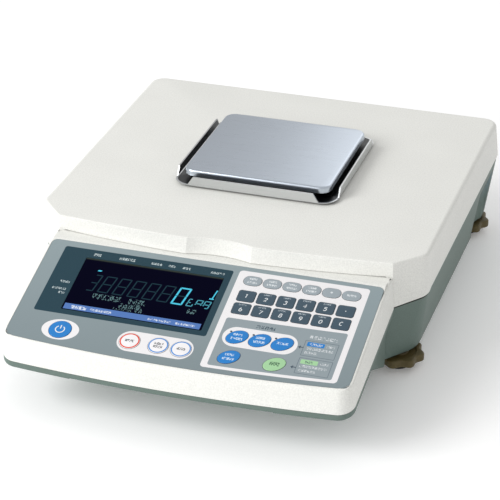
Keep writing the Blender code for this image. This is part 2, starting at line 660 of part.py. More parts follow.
def build_electronics():
    """Main board behind the rear wall, its power jack and serial port, and a cable."""
    board_top = REAR_Z - 0.0070
    wall_inside = BASE_BACK - 0.0045
    plate("main_board", [box_outline(0.100, 0.080, 0.003, (-0.072, wall_inside - 0.043))],
          board_top - BOARD, board_top, BOARD_FINISH)
    deep = 0.014
    socket = [box_outline(0.0100, 0.0120, 0.0008), ellipse(0.0064, 0.0064)]
    face = BASE_BACK + 0.0005
    jack = plate("dc_jack", [socket[0]], -0.001, deep, SOCKET_FINISH, turn=ALONG_Y,
                 location=(JACK_X, face, REAR_Z))
    ring = plate("jack_socket", [socket[1]], -0.002, 0.0095, turn=ALONG_Y,
                 location=jack.location)
    combine(jack, ring)
    pin = plate("jack_pin", [ellipse(0.0021, 0.0021, count=12)], 0.0005, 0.011, turn=ALONG_Y,
                location=jack.location)
    combine(jack, pin, "UNION")
    shell = rounded([(0.0083, 0.0040, 0.002), (-0.0083, 0.0040, 0.002),
                     (-0.0070, -0.0040, 0.002), (0.0070, -0.0040, 0.002)])
    port = plate("serial_port", [shell], -0.004, 0.0155, STEEL_FINISH, turn=ALONG_Y,
                 location=(PORT_X, face, REAR_Z))
    combine(port, plate("port_socket", [inset(shell, 0.0007)], -0.005, 0.001, turn=ALONG_Y,
                        location=port.location))

    route = [(-0.060, PAN_Y + 0.070, board_top + 0.0028), (-0.060, PAN_Y + 0.045, 0.034),
             (-0.060, PAN_Y - 0.060, LIP_TOP - 0.0225), (-0.060, PAN_Y - 0.125, LIP_TOP + 0.002),
             (-0.060, RIDGE_Y, PAN_TOP - 0.0365), (-0.060, RIDGE_Y - 0.014, PAN_TOP - 0.0385),
             (-0.060, RIDGE_Y - 0.030, PAN_TOP - 0.0480)]
    wire = bpy.data.curves.new("display_cable", "CURVE")
    wire.dimensions = "3D"
    wire.bevel_depth = 0.0018
    wire.bevel_resolution = 2
    wire.use_fill_caps = True
    spline = wire.splines.new("POLY")
    spline.points.add(len(route) - 1)
    for slot, point in zip(spline.points, route):
        slot.co = (*point, 1.0)
    cable = bpy.data.objects.new("display_cable", wire)
    wire.materials.append(SOCKET_FINISH)
    PARTS.objects.link(cable)


# ---- build ------------------------------------------------------------------------------
for old in list(bpy.data.objects):
    bpy.data.objects.remove(old)
PARTS = bpy.data.collections.new("counting_scale")
CUTTERS = bpy.data.collections.new("cutters")
bpy.context.scene.collection.children.link(PARTS)
bpy.context.scene.collection.children.link(CUTTERS)

COVER_FINISH = material("warm_white_plastic", (0.80, 0.80, 0.76), 0.5)
BASE_FINISH = material("grey_green_plastic", (0.10, 0.13, 0.11), 0.55)
OVERLAY_FINISH = material("overlay_film", (0.27, 0.32, 0.34), 0.45)
WINDOW_FINISH = material("dark_window", (0.004, 0.005, 0.012), 0.12)
PAN_FINISH = material("brushed_stainless", (0.62, 0.63, 0.65), 0.32, 1.0)
ALLOY_FINISH = material("cast_alloy", (0.55, 0.56, 0.57), 0.45, 1.0)
STEEL_FINISH = material("plated_steel", (0.45, 0.45, 0.46), 0.35, 1.0)
KNOB_FINISH = material("bronze_plastic", (0.075, 0.055, 0.022), 0.5)
RUBBER_FINISH = material("black_rubber", (0.02, 0.02, 0.02), 0.8)
BOARD_FINISH = material("green_board", (0.01, 0.10, 0.04), 0.5)
SOCKET_FINISH = material("black_plastic", (0.015, 0.015, 0.015), 0.45)
OVAL_FINISH = material("grey_key", (0.33, 0.37, 0.41), 0.4)
DIGIT_FINISH = material("slate_key", (0.07, 0.11, 0.14), 0.4)
BLUE_FINISH = material("blue_key", (0.02, 0.22, 0.55), 0.35)
GREEN_FINISH = material("green_key", (0.35, 0.68, 0.30), 0.35)
WHITE_KEY_FINISH = material("white_key", (0.80, 0.80, 0.80), 0.35)

PANEL = bpy.data.objects.new("panel_frame", None)
PANEL.location = (0.0, PANEL_Y, PANEL_Z)
PANEL.rotation_euler = (SLOPE, 0.0, 0.0)
PARTS.objects.link(PANEL)
bpy.context.view_layer.update()

build_base()
build_feet()
build_cover()
build_pan()
build_tray()
build_load_path()
build_console_cases(PANEL)
build_panel(PANEL)
build_electronics()
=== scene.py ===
"""Finished look of a bench counting scale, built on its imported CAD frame."""

import json
import math
from functools import reduce

import bmesh
import bpy
import numpy as np
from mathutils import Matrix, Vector


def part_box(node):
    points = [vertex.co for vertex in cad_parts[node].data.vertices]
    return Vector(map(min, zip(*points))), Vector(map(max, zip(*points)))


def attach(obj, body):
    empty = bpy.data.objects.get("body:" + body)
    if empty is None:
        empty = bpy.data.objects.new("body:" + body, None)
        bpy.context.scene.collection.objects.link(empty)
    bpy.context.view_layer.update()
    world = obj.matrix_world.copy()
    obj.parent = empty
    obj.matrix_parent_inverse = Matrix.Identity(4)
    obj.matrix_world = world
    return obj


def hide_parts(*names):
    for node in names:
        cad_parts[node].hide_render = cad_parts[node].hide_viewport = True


bl_info = {
    "name": "Counting scale look",
    "version": (1, 0, 0),
    "blender": (4, 5, 0),
    "location": "View3D > Sidebar > Counting scale",
    "description": "Detailed surfaces and materials for a bench counting scale",
    "category": "Object",
}

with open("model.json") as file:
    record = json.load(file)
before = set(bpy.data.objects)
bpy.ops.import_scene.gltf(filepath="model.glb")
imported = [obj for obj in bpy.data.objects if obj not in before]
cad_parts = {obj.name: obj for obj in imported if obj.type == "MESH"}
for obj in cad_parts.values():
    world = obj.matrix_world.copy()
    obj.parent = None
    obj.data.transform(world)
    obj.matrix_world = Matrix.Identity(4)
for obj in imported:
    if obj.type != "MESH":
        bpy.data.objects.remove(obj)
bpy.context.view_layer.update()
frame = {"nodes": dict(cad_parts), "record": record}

MM = 1000.0          # millimetres in a metre, for the materials

# ---- places and sizes read from the frame, in metres ---------------------------------
PAN_LOW, PAN_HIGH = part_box("weighing_pan")
COVER_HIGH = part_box("top_cover")[1]
BASE_LOW, BASE_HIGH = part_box("base_housing")
CASE_LOW, CASE_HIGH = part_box("console_top_case")
TRAY_LOW, TRAY_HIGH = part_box("pan_tray")
KNOB_LOW, KNOB_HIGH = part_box("foot_knob_front_right")
PAD_LOW, PAD_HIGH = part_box("foot_pad_front_right")
STUD_LOW, STUD_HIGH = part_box("foot_stud_front_right")
PAN_Y = (PAN_LOW.y + PAN_HIGH.y) / 2
PAN_TOP = PAN_HIGH.z
REAR_DROP = 0.0016
SHEET = 0.0012
GAP = 0.0003

COVER_TOP = COVER_HIGH.z
COVER_WALL = 0.0025
SIDE_LEAN = 0.001
COVER_HALF = COVER_HIGH.x - SIDE_LEAN
BACK_LEAN = 0.009
COVER_BACK = COVER_HIGH.y - BACK_LEAN
SKIRT_BOTTOM = PAN_TOP - 0.048
SKIRT_DIP = 0.0055
DIP_START = PAN_Y - 0.115
SIDE_CORNER = PAN_Y - 0.126
RIDGE_X = 0.1415
RIDGE_Y = PAN_Y - 0.1492
NOTCH_X = RIDGE_X - COVER_WALL
FRONT_BOW = 0.0075
FRONT_LEAN = 0.0045
BAY_HALF = 0.0275
BAY_DEPTH = 0.005
POST_HOLE = 0.018

BASE_BOTTOM = BASE_LOW.z
BASE_BACK = PAN_Y + 0.161
BASE_HALF = 0.1555
BASE_SHOULDER = 0.0008
SEAM = 0.0012
LIP_TOP = BASE_HIGH.z
LIP_STEP = 0.004
BASE_WALL = 0.003
GRIP_Y = PAN_Y + 0.113
GRIP_HALF = 0.027
GRIP_DEEP = 0.014
GRIP_TOP = PAN_TOP - 0.061
GRIP_SIDE = 0.12            # farther out than this is the side wall
BASE_EDGE = 0.002
BASE_FLOOR = 0.0025
# Widths of painted shade lines on the base: under the cover's skirt, then round each hand grip.
SKIRT_SHADE_LINE = 1.5             # width in millimetres, as is the next
GRIP_SHADE_LINE = 1.1

CONSOLE_HALF = 0.142
CONSOLE_FLARE = 0.0015
CONSOLE_FRONT = CASE_LOW.y
CONSOLE_BOW = 0.006
CONSOLE_BACK = CASE_HIGH.y
CONSOLE_WALL = 0.0025
SLOPE = math.radians(16.1)
PANEL_Y = PAN_Y - 0.1659
PANEL_Z = PAN_TOP - 0.0265
BEND_Y = PANEL_Y + 0.0024
PARTING_BACK = PAN_TOP - 0.053
PARTING_SLOPE = 0.203
OVERLAY_HALF = 0.1395
OVERLAY_LONG = 0.117
BOTTOM_DEEP = 0.006
NECK_HALF = 0.137
NECK_REACH = 0.072
NECK_BEVEL = 0.0015
WELL_DEEP = 0.004           # the recess that the overlay lies in, and the roof beside it
BOTTOM_EDGE = 0.0022
RELIEF_HALF = 0.083
RELIEF_DEEP = 0.0018

PAN_CORNER = 0.0095
TRAY_CORNER = 0.014
TRAY_SLANT = 0.005
TRAY_BEND = 0.0014
TRAY_HOLE = 0.016

FOOT_ENDS = {"front": PAN_Y - 0.115, "rear": PAN_Y + 0.138}
FOOT_SIDES = {"left": -0.140, "right": 0.140}
KNOB_LOBES = 8
STUD_RADIUS = 0.004
LOBE_DEPTH = 0.0016
THREAD_STEP = 0.000625       # half a turn of the 1.25 mm pitch
THREAD_DEPTH = 0.0004

KEY_PITCH = 0.01617
GRID_LEFT = 0.0355
OVAL_ROW = 0.0144
DIGIT_ROWS = (0.0318, 0.0460)
BLUE_ROW = 0.0763
LOWER_ROW = 0.0982
BLUE_KEYS = (0.0415, 0.0597, 0.0779)
RING_KEYS = (-0.0391, -0.0156, 0.0029)
POWER_KEY = (-0.0971, 0.0977)
KEY_DOWN = 0.0034
KEY_UP = 0.0005
LEGEND_LEAN = 0.16
LEGEND_HALF = 0.00032
POWER_TALL = 0.0085
POWER_HALF = 0.00045

# ---- printed areas, in millimetres across the panel and down it: left, right, near, far --
KEY_FIELD = (22.2, 129.2, 4.3, 112.3)
LOWER_FIELD = (27.3, 124.6, 57.3, 109.4)
BLUE_FIELD = (29.8, 89.8, 65.7, 86.8)
RING_FIELD = (-49.2, 12.6, 87.3, 108.9)
POWER_FIELD = ((-97.0, 97.7), 15.3, 10.9)
BEZEL_FIELD = (-126.2, 17.4, 6.3, 80.9)
HINT_FRAMES = ((94.6, 120.9, 68.3, 84.4), (94.9, 121.0, 86.9, 103.2))
BLUE_TAG = (96.5, 110.3, 69.6, 73.9)
GREEN_TAG = (96.5, 110.1, 88.3, 92.8)
DOTS = ((35.2, 71.4), (53.4, 71.4), (71.5, 71.4))
ARROW_ROWS = (76.2, 97.6)
# Rows of ticks: the area, the height of a tick, the seed and the share that is filled.
DARK_TICKS = (((53.0, 68.2, 60.6, 63.8), 3.4, 1.0, 0.62),
              ((100.2, 106.2, 89.3, 91.8), 2.6, 5.0, 0.6))
LIGHT_TICKS = (((96.8, 119.0, 62.6, 65.8), 3.1, 2.0, 0.5),
               ((112.0, 118.4, 70.6, 73.2), 2.4, 3.0, 0.5),
               ((96.9, 118.6, 75.3, 77.9), 2.4, 4.0, 0.5),
               ((96.9, 107.0, 79.6, 82.2), 2.4, 6.0, 0.5),
               ((98.4, 108.6, 70.6, 73.0), 2.4, 7.0, 0.5),
               ((112.0, 118.4, 89.4, 91.8), 2.4, 8.0, 0.5),
               ((96.9, 118.8, 94.0, 96.6), 2.4, 9.0, 0.5),
               ((96.9, 110.5, 98.5, 101.0), 2.4, 10.0, 0.5))
CAPTION_AREAS = ((-100.0, -93.8, 10.0, 13.0), (-77.8, -64.6, 10.0, 13.0),
                 (-50.5, -41.5, 10.4, 12.8), (-36.2, -30.4, 10.4, 12.8),
                 (-24.0, -17.6, 10.4, 12.8), (-0.4, 11.2, 10.6, 12.8),
                 (-116.4, -108.4, 44.8, 47.2), (-120.2, -108.2, 53.0, 55.2),
                 (-114.0, -108.4, 57.2, 59.4))
STRIP_AREA = (-103.6, 10.0, 68.6, 74.8)
STRIP_TICKS = (((-97.5, -84.5, 70.2, 73.6), 3.2, 21.0, 0.75),
               ((-81.5, -63.5, 70.8, 73.2), 2.2, 22.0, 0.55),
               ((-33.5, -14.5, 71.0, 73.2), 2.2, 23.0, 0.55),
               ((-10.5, 5.5, 71.0, 73.2), 2.2, 24.0, 0.55))
DOT_ROWS = ((-85.0, -61.0, 53.8, 59.6), (-54.5, -40.5, 53.8, 59.6),
            (-60.5, -40.5, 60.2, 65.0), (-5.5, 2.5, 55.0, 59.8), (-64.0, -40.5, 65.6, 67.6))
LAMP_AREA = (-84.0, -81.0, 27.8, 29.2)
FIGURE_PITCH = 12.45        # from one large figure to the next
FIGURE_X = -15.2            # the middle of the lit figure
FIGURE_Y = 42.5

# ---- stage: metres and watts ---------------------------------------------------------------
FLOOR_HALF = 6.0
FLOOR_GLOW = 0.14
SKY_STRENGTH = 0.6
LAMP_SIZE = 1.6
LAMPS = (("key", (-1.7, -1.6, 1.5), 58.0), ("rear", (0.3, 1.9, 1.3), 6.0))
LAMP_AIM = (0.0, 0.0, 0.06)
CAMERA_LENS = 153.88
CAMERA_PLACE = (0.4823, PAN_Y - 1.5963, PAN_TOP + 0.7767)
CAMERA_AIM = (0.0348, PAN_Y - 0.1852, PAN_TOP)


# ---- settings a user would change ------------------------------------------------------
def length(name, default, description):
    """A length property in metres."""
    return bpy.props.FloatProperty(name=name, default=default, description=description,
                                   min=0.0, unit="LENGTH", subtype="DISTANCE", precision=5)


def colour(name, default, description):
    """A linear colour property."""
    return bpy.props.FloatVectorProperty(name=name, default=default, description=description,
                                         size=3, min=0.0, max=1.0, subtype="COLOR")


def srgb(red, green, blue):
    """Linear values of a colour given as 0 to 255 in each channel."""
    parts = np.array([red, green, blue]) / 255
    return tuple(float(p) for p in np.where(parts <= 0.04045, parts / 12.92,
                                            ((parts + 0.055) / 1.055) ** 2.4))


class ScaleSizes(bpy.types.PropertyGroup):
    """Sizes of the finished look."""
    side_edge: length("Cover side edge", 0.0042, "Edge radius at the cover's sides and back")
    front_edge: length("Cover front edge", 0.0010, "Edge radius along the cover's front")
    case_edge: length("Console edge", 0.0022, "Edge radius round the console's top")
    pan_edge: length("Pan edge", 0.0022, "Radius of the pan's turned-down edge")
    key_edge: length("Key edge", 0.0004, "Edge radius of each key")
    key_crown: length("Key crown", 0.0002, "How far a key swells at its middle")
    knob_edge: length("Knob edge", 0.0014, "Edge radius of the foot knobs")
    grain: length("Moulded grain", 0.0007, "Size of the grain in the moulded plastic")
    legend: length("Legend height", 0.0041, "Height of the numbers on the keys")


class ScaleColours(bpy.types.PropertyGroup):
    """Colours of the finished look."""
    cover: colour("Cover", srgb(232, 232, 227), "Cover and console")
    base: colour("Base", srgb(99, 116, 109), "Base and underside of the console")
    film: colour("Overlay", srgb(134, 147, 151), "Keypad overlay")
    panel: colour("Panel", srgb(231, 229, 230), "Light panels on the overlay")
    bezel: colour("Bezel", srgb(30, 60, 72), "Display surround")
    strip: colour("Strip", srgb(84, 118, 178), "Strip under the display")
    lit: colour("Lit segments", srgb(84, 208, 236), "Lit segments of the display")
    slate: colour("Number keys", srgb(60, 80, 94), "Number keys")
    oval: colour("Oval keys", srgb(152, 162, 168), "Oval keys")
    blue: colour("Blue keys", srgb(30, 122, 196), "Blue keys")
    green: colour("Green key", srgb(160, 204, 156), "Green key")
    red: colour("Red ring", srgb(222, 70, 46), "Ring of the zero key")
    ring: colour("Blue rings", srgb(84, 140, 206), "Rings of the two keys beside it")
    steel: colour("Steel", srgb(212, 221, 232), "Pan and tray")
    knob: colour("Knobs", srgb(92, 80, 44), "Levelling knobs")


# ---- outlines and surfaces ---------------------------------------------------------------
def outline(corners, steps=10):
    """Closed outline through corners (x, y, radius), each an arc of steps + 1 points.

    An arc lies on the circle that touches both sides of its corner.
    """
    spots = np.array([corner[:2] for corner in corners], float)
    rows = []
    for index, (x, y, radius) in enumerate(corners):
        spot = spots[index]
        if radius == 0:
            rows.append(spot[None])
            continue
        back = spots[index - 1] - spot
        ahead = spots[(index + 1) % len(spots)] - spot
        start = math.atan2(back[1], back[0])
        turn = math.remainder(math.atan2(ahead[1], ahead[0]) - start, 2 * math.pi)
        middle = start + turn / 2
        reach = radius / math.sin(abs(turn) / 2)
        swing = math.copysign((math.pi - abs(turn)) / 2, turn)
        angles = middle + math.pi + swing * np.linspace(1, -1, steps + 1)
        centre = spot + reach * np.array([math.cos(middle), math.sin(middle)])
        rows.append(centre + radius * np.column_stack([np.cos(angles), np.sin(angles)]))
    return np.concatenate(rows)


def inset(points, distance):
    """The outline moved inwards: each point along the halved angle of its two edges."""
    ahead = np.roll(points, -1, axis=0) - points
    ahead /= np.linalg.norm(ahead, axis=1, keepdims=True)
    back = np.roll(ahead, 1, axis=0)
    normals = np.column_stack([-(ahead + back)[:, 1], (ahead + back)[:, 0]])
    share = 1 + (ahead * back).sum(axis=1)
    return points + normals * (np.broadcast_to(distance, len(points)) / share)[:, None]


def raised(points, height):
    """The outline as points in space, at one height or at a height for each point."""
    return np.column_stack([points, np.broadcast_to(height, len(points))])


def surface(name, rings, closed=False, low_cap=False, high_cap=False, sharp=35):
    """Mesh of a grid whose rows are matched rings: point (i, j) is point j of ring i.

    A closed grid joins its last ring to its first; a cap is one flat face over a ring.
    """
    grid = np.array(rings, float)
    rows, count = grid.shape[:2]
    row = np.arange(rows if closed else rows - 1)[:, None]
    column = np.arange(count)[None, :]
    after = (row + 1) % rows
    beside = (column + 1) % count
    quads = np.stack([row * count + column, row * count + beside,
                      after * count + beside, after * count + column], axis=-1)
    faces = quads.reshape(-1, 4).tolist()
    if low_cap:
        faces.append(list(range(count))[::-1])
    if high_cap:
        faces.append(list(range((rows - 1) * count, rows * count)))
    mesh = bpy.data.meshes.new(name)
    mesh.from_pydata(grid.reshape(-1, 3).tolist(), [], faces)
    return polished(mesh, sharp)


def polished(mesh, sharp=35):
    """Weld coincident points, turn the faces outwards and shade smooth between sharp edges."""
    shape = bmesh.new()
    shape.from_mesh(mesh)
    bmesh.ops.remove_doubles(shape, verts=shape.verts, dist=1e-6)
    bmesh.ops.dissolve_degenerate(shape, edges=shape.edges, dist=1e-7)
    bmesh.ops.recalc_face_normals(shape, faces=shape.faces)
    shape.to_mesh(mesh)
    shape.free()
    mesh.shade_smooth()
    mesh.set_sharp_from_angle(angle=math.radians(sharp))
    return mesh


def joined(name, *meshes):
    """One mesh holding several separate shells."""
    shape = bmesh.new()
    for mesh in meshes:
        shape.from_mesh(mesh)
    whole = bpy.data.meshes.new(name)
    shape.to_mesh(whole)
    shape.free()
    return whole


def piece(name, mesh, finish, body, *nodes, slot=None):
    """A finished piece that rides on a body and stands for CAD nodes."""
    made = bpy.data.objects.new(name, mesh)
    bpy.context.scene.collection.objects.link(made)
    mesh.materials.append(finish)
    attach(made, body)
    if nodes:
        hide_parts(*nodes)
    return made


def cut(mesh, cutters):
    """The mesh with closed cutter meshes taken away from it."""
    holder = bpy.data.objects.new("cut_holder", mesh)
    bpy.context.scene.collection.objects.link(holder)
    tools = []
    for cutter in cutters:
        tool = bpy.data.objects.new("cut_tool", cutter)
        bpy.context.scene.collection.objects.link(tool)
        step = holder.modifiers.new("cut", "BOOLEAN")
        step.operation = "DIFFERENCE"
        step.solver = "EXACT"
        step.object = tool
        tools.append(tool)
    graph = bpy.context.evaluated_depsgraph_get()
    result = bpy.data.meshes.new_from_object(holder.evaluated_get(graph))
    for tool in [holder, *tools]:
        bpy.data.objects.remove(tool)
    return polished(result)


def prism(name, points, low, high):
    """A closed straight prism over an outline."""
    return surface(name, [raised(points, low), raised(points, high)], low_cap=True,
                   high_cap=True)


def circle(radius, centre, count):
    """Points of a circle: centre plus radius times (cos t, sin t)."""
    turns = np.linspace(0, 2 * np.pi, count, endpoint=False)
    return np.column_stack([centre[0] + radius * np.cos(turns),
                            centre[1] + radius * np.sin(turns)])


def console_height(y):
    """Height of the console's top: a slope that meets a level strip at the bend."""
    return PANEL_Z + (np.minimum(y, BEND_Y) - PANEL_Y) * math.tan(SLOPE)


def parting_height(y):
    """Height of the joint between the console's halves, falling evenly to the front."""
    return PARTING_BACK - PARTING_SLOPE * (CONSOLE_BACK - y)


def on_panel(points):
    """Panel coordinates (across, up the slope, out of the panel) as points in space."""
    points = np.asarray(points, float)
    across, up, out = points[..., 0], points[..., 1], points[..., 2]
    return np.stack([across, PANEL_Y + up * math.cos(SLOPE) - out * math.sin(SLOPE),
                     PANEL_Z + up * math.sin(SLOPE) + out * math.cos(SLOPE)], axis=-1)


# ---- shader maths ----------------------------------------------------------------------
class Value:
    """A number that varies over a surface; arithmetic on it adds Math nodes."""

    def __init__(self, shader, socket):
        self.shader = shader
        self.socket = socket

    def math(self, operation, *others):
        made = self.shader.node("ShaderNodeMath", {"operation": operation}, (self, *others))
        return Value(self.shader, made.outputs[0])

    def __add__(self, other):
        return self.math("ADD", other)

    def __sub__(self, other):
        return self.math("SUBTRACT", other)

    def __rsub__(self, other):
        return (self * -1.0) + other

    def __mul__(self, other):
        return self.math("MULTIPLY", other)

    def __truediv__(self, other):
        return self.math("DIVIDE", other)

    def __abs__(self):
        return self.math("ABSOLUTE")

    def __mod__(self, other):
        return self.math("FLOORED_MODULO", other)

    def over(self, other):
        """1 where it is greater than the other value."""
        return self.math("GREATER_THAN", other)

    def high(self, other):
        return self.math("MAXIMUM", other)

    def low(self, other):
        return self.math("MINIMUM", other)

    def unit(self):
        """Held between 0 and 1."""
        return self.high(0.0).low(1.0)

    def floor(self):
        return self.math("FLOOR")

    def root(self):
        return self.math("SQRT")

    __radd__ = __add__
    __rmul__ = __mul__


class Shader:
    """A Principled material built from expressions, with Object coordinates in millimetres."""

    def __init__(self, name, **constants):
        self.material = bpy.data.materials.new(name)
        self.material.use_nodes = True
        self.tree = self.material.node_tree
        self.surface = self.tree.nodes["Principled BSDF"]
        for socket, value in constants.items():
            self.set(socket.replace("_", " "), value)
        place = self.node("ShaderNodeTexCoord").outputs["Object"]
        self.place = self.node("ShaderNodeVectorMath", {"operation": "SCALE"},
                               {"Vector": place, "Scale": MM}).outputs[0]
        parts = self.node("ShaderNodeSeparateXYZ", None, (self.place,))
        self.x, self.y, self.z = (Value(self, socket) for socket in parts.outputs)

    def node(self, kind, settings=None, sockets=()):
        """Add a node: its settings first, then values or links for its sockets."""
        made = self.tree.nodes.new(kind)
        for key, value in (settings or {}).items():
            setattr(made, key, value)
        pairs = sockets.items() if isinstance(sockets, dict) else enumerate(sockets)
        for key, value in pairs:
            value = value.socket if isinstance(value, Value) else value
            if isinstance(value, bpy.types.NodeSocket):
                self.tree.links.new(value, made.inputs[key])
            else:
                made.inputs[key].default_value = value
        return made

    def set(self, name, value):
        """Give a socket of the surface a constant, a value or a colour socket."""
        value = value.socket if isinstance(value, Value) else value
        target = self.surface.inputs[name]
        if isinstance(value, bpy.types.NodeSocket):
            self.tree.links.new(value, target)
        elif target.type == "RGBA":
            target.default_value = (*value, 1.0)
        else:
            target.default_value = value

    def mix(self, mask, first, second):
        """The first colour where the mask is 0 and the second where it is 1."""
        colours = [c if isinstance(c, bpy.types.NodeSocket) else (*c, 1.0)
                   for c in (first, second)]
        made = self.node("ShaderNodeMix", {"data_type": "RGBA"},
                         {0: mask, 6: colours[0], 7: colours[1]})
        return made.outputs[2]

    def noise(self, size, detail=2.0, stretch=(1.0, 1.0, 1.0)):
        """Smooth noise from 0 to 1 whose lumps are about size millimetres across."""
        place = self.node("ShaderNodeVectorMath", {"operation": "MULTIPLY"},
                          {0: self.place, 1: tuple(s / size for s in stretch)}).outputs[0]
        made = self.node("ShaderNodeTexNoise", None,
                         {"Vector": place, "Scale": 1.0, "Detail": detail})
        return Value(self, made.outputs[0])

    def scatter(self, first, second, seed=0.0):
        """A random value for each whole-number pair."""
        place = self.node("ShaderNodeCombineXYZ", None, (first, second, seed)).outputs[0]
        made = self.node("ShaderNodeTexWhiteNoise", {"noise_dimensions": "3D"},
                         {"Vector": place})
        return Value(self, made.outputs["Value"])

    def bump(self, height, strength, distance):
        """Tilt the surface by a height; the distance is in metres."""
        made = self.node("ShaderNodeBump", None, {"Strength": strength, "Distance": distance,
                                                  "Height": height})
        self.set("Normal", made.outputs[0])

    def panel_place(self):
        """Millimetres across the panel and down its slope."""
        return self.x, (self.y - PANEL_Y * MM) / -math.cos(SLOPE)

    def panel_height(self):
        """Millimetres out of the panel."""
        return ((self.z - PANEL_Z * MM) * math.cos(SLOPE)
                - (self.y - PANEL_Y * MM) * math.sin(SLOPE))


def filled(distance, soft=0.12):
    """1 where a signed distance in millimetres is inside, with a soft edge."""
    return (0.5 - distance / soft).unit()


def lined(distance, width):
    """1 within half a width of the edge."""
    return filled(abs(distance) - width / 2)


def union(masks):
    """The highest of several masks."""
    return reduce(Value.high, masks)


def frame_distance(x, y, box, radius):
    """Signed distance to a rectangle (left, right, near, far) with round corners."""
    left, right, near, far = box
    across = abs(x - (left + right) / 2) - ((right - left) / 2 - radius)
    along = abs(y - (near + far) / 2) - ((far - near) / 2 - radius)
    outer_x, outer_y = across.high(0.0), along.high(0.0)
    outside = (outer_x * outer_x + outer_y * outer_y).root()
    return outside + across.high(along).low(0.0) - radius


def round_distance(x, y, centre, half_x, half_y):
    """About the signed distance to an ellipse: its scaled radius less one, rescaled."""
    across, along = (x - centre[0]) / half_x, (y - centre[1]) / half_y
    return ((across * across + along * along).root() - 1.0) * min(half_x, half_y)


def marks(shader, x, y, box, height, seed, fill):
    """Small random ticks in a rectangle, in groups, where a real panel has captions."""
    left, right, near, far = box
    inside = filled(frame_distance(x, y, box, 0.05), 0.1)
    shift = x - left
    cell = height / 4.2
    along = ((y - near) / cell).floor()
    across = (shift / cell).floor()
    dots = shader.scatter(across, along, seed).over(1.0 - fill)
    gaps = 1.0 - (shift % (height * 1.02)).over(height * 0.86)
    return inside * dots * gaps


def key_column(u):
    """Millimetres from the middle of a column of the key grid, and the column's number."""
    pitch = KEY_PITCH * MM
    shift = u - GRID_LEFT * MM + pitch / 2
    return (shift % pitch) - pitch / 2, (shift / pitch).floor()


def tick_grid(shader, u, v, size, seed, fill):
    """Small squares, each filled or not at random."""
    return shader.scatter((u / size).floor(), (v / size).floor(), seed).over(1.0 - fill)


def block(u, v, place, half_wide, half_tall):
    """Mask of a rectangle round a place."""
    return filled((abs(u - place[0]) - half_wide).high(abs(v - place[1]) - half_tall))


# ---- materials -----------------------------------------------------------------------------
def base_painted_light(shader, base):
    """Painted shade under the skirt; at each hand grip, a painted bluish highlight and a painted
    shadow line.
    """
    # Painted shade: a dark line on the base just under the cover's skirt, for the shade in the gap
    # there.
    share = ((DIP_START * MM - shader.y) / ((DIP_START - RIDGE_Y) * MM)).unit()
    below = shader.z - (SKIRT_BOTTOM - SEAM) * MM + share * (SKIRT_DIP * MM)
    base = shader.mix(lined(below, SKIRT_SHADE_LINE), base, srgb(34, 40, 28))
    along = abs(shader.y - GRIP_Y * MM) - GRIP_HALF * MM
    under = shader.z - GRIP_TOP * MM
    side = abs(shader.x).over(GRIP_SIDE * MM)
    edge = along.high(under)
    inside = filled(edge, 0.3) * side
    # Painted highlight: bluish light inside each hand grip, fading downwards from its top.
    base = shader.mix(inside * (0.5 + under / 60.0).unit(), base, srgb(150, 170, 184))
    # Painted shadow: a dark line round the edge of each hand grip.
    return shader.mix(lined(edge - 0.6, GRIP_SHADE_LINE) * side, base, srgb(28, 34, 22))


def moulded(name, tint, grain, roughness=0.5, strength=0.4, mottled=0.05, paint=None):
    """Moulded plastic: fine pebbled grain, faint cloudiness and a slightly lighter colour where the
    grain stands highest.
    """
    shader = Shader(name)
    size = grain * MM
    pebble = shader.noise(size, 3.0)
    fine = shader.noise(size * 0.35, 2.0)
    cloud = shader.noise(55.0, 3.0)
    speckle = shader.noise(size * 1.7, 2.0)
    dark = tuple(c * (1 - 2.2 * mottled) for c in tint)
    light = tuple(min(c * (1 + mottled), 1.0) for c in tint)
    shade = shader.mix(((speckle - 0.5) * 1.9 + pebble * 0.4 + cloud * 0.5).unit(), dark, light)
    shader.set("Base Color", paint(shader, shade) if paint else shade)
    shader.set("Roughness", (roughness - 0.06) + fine * 0.12 + cloud * 0.04)
    shader.set("Specular IOR Level", 0.42)
    shader.bump(pebble * 0.7 + fine * 0.3, strength, grain * 0.08)
    return shader.material


def brushed(name, tint, shaded_below=None, roughness=0.26):
    """Brushed steel: long fine scratches, a painted sweep of shade across, and painted shade below
    a height.
    """
    shader = Shader(name, Metallic=1.0)
    stretch = (0.012, 1.0, 1.0)
    fine = shader.noise(0.16, 3.0, stretch)
    broad = shader.noise(0.7, 4.0, stretch)
    cloud = shader.noise(42.0, 2.0)
    streak = fine * 0.6 + broad * 0.4
    dark = tuple(c * 0.84 for c in tint)
    shade = shader.mix((streak * 1.8 - 0.4).unit(), dark, tint)
    # Painted reflection: the steel darkens towards the left and the back.
    sweep = (shader.x * 0.8 - (shader.y - PAN_Y * MM) * 0.25) / 130.0 + 0.5
    shade = shader.mix((0.85 - sweep).unit() * 0.55, shade, tuple(c * 0.62 for c in tint))
    # Painted shade: inside the tray's outline, below the given height, the sheet is nearly black,
    # for the shade under the pan.
    if shaded_below:
        tray = (TRAY_LOW.x * MM, TRAY_HIGH.x * MM, TRAY_LOW.y * MM, TRAY_HIGH.y * MM)
        within = filled(frame_distance(shader.x, shader.y, tray, TRAY_CORNER * MM) + 1.7, 0.6)
        gap_shade = filled(shader.z - shaded_below * MM, 0.8) * within
        shade = shader.mix(gap_shade, shade, tuple(c * 0.08 for c in tint))
    shader.set("Base Color", shade)
    shader.set("Roughness", (roughness - 0.06) + streak * 0.16 + cloud * 0.03)
    shader.bump(streak, 0.35, 0.00004)
    return shader.material


def metal(name, tint, roughness, size=1.5):
    """Machined or plated metal with a fine cast or rolled texture."""
    shader = Shader(name, Metallic=1.0)
    rough = shader.noise(size, 4.0)
    dark = tuple(c * 0.85 for c in tint)
    shader.set("Base Color", shader.mix(rough, dark, tint))
    shader.set("Roughness", (roughness - 0.08) + rough * 0.16)
    shader.bump(rough, 0.2, 0.00005)
    return shader.material


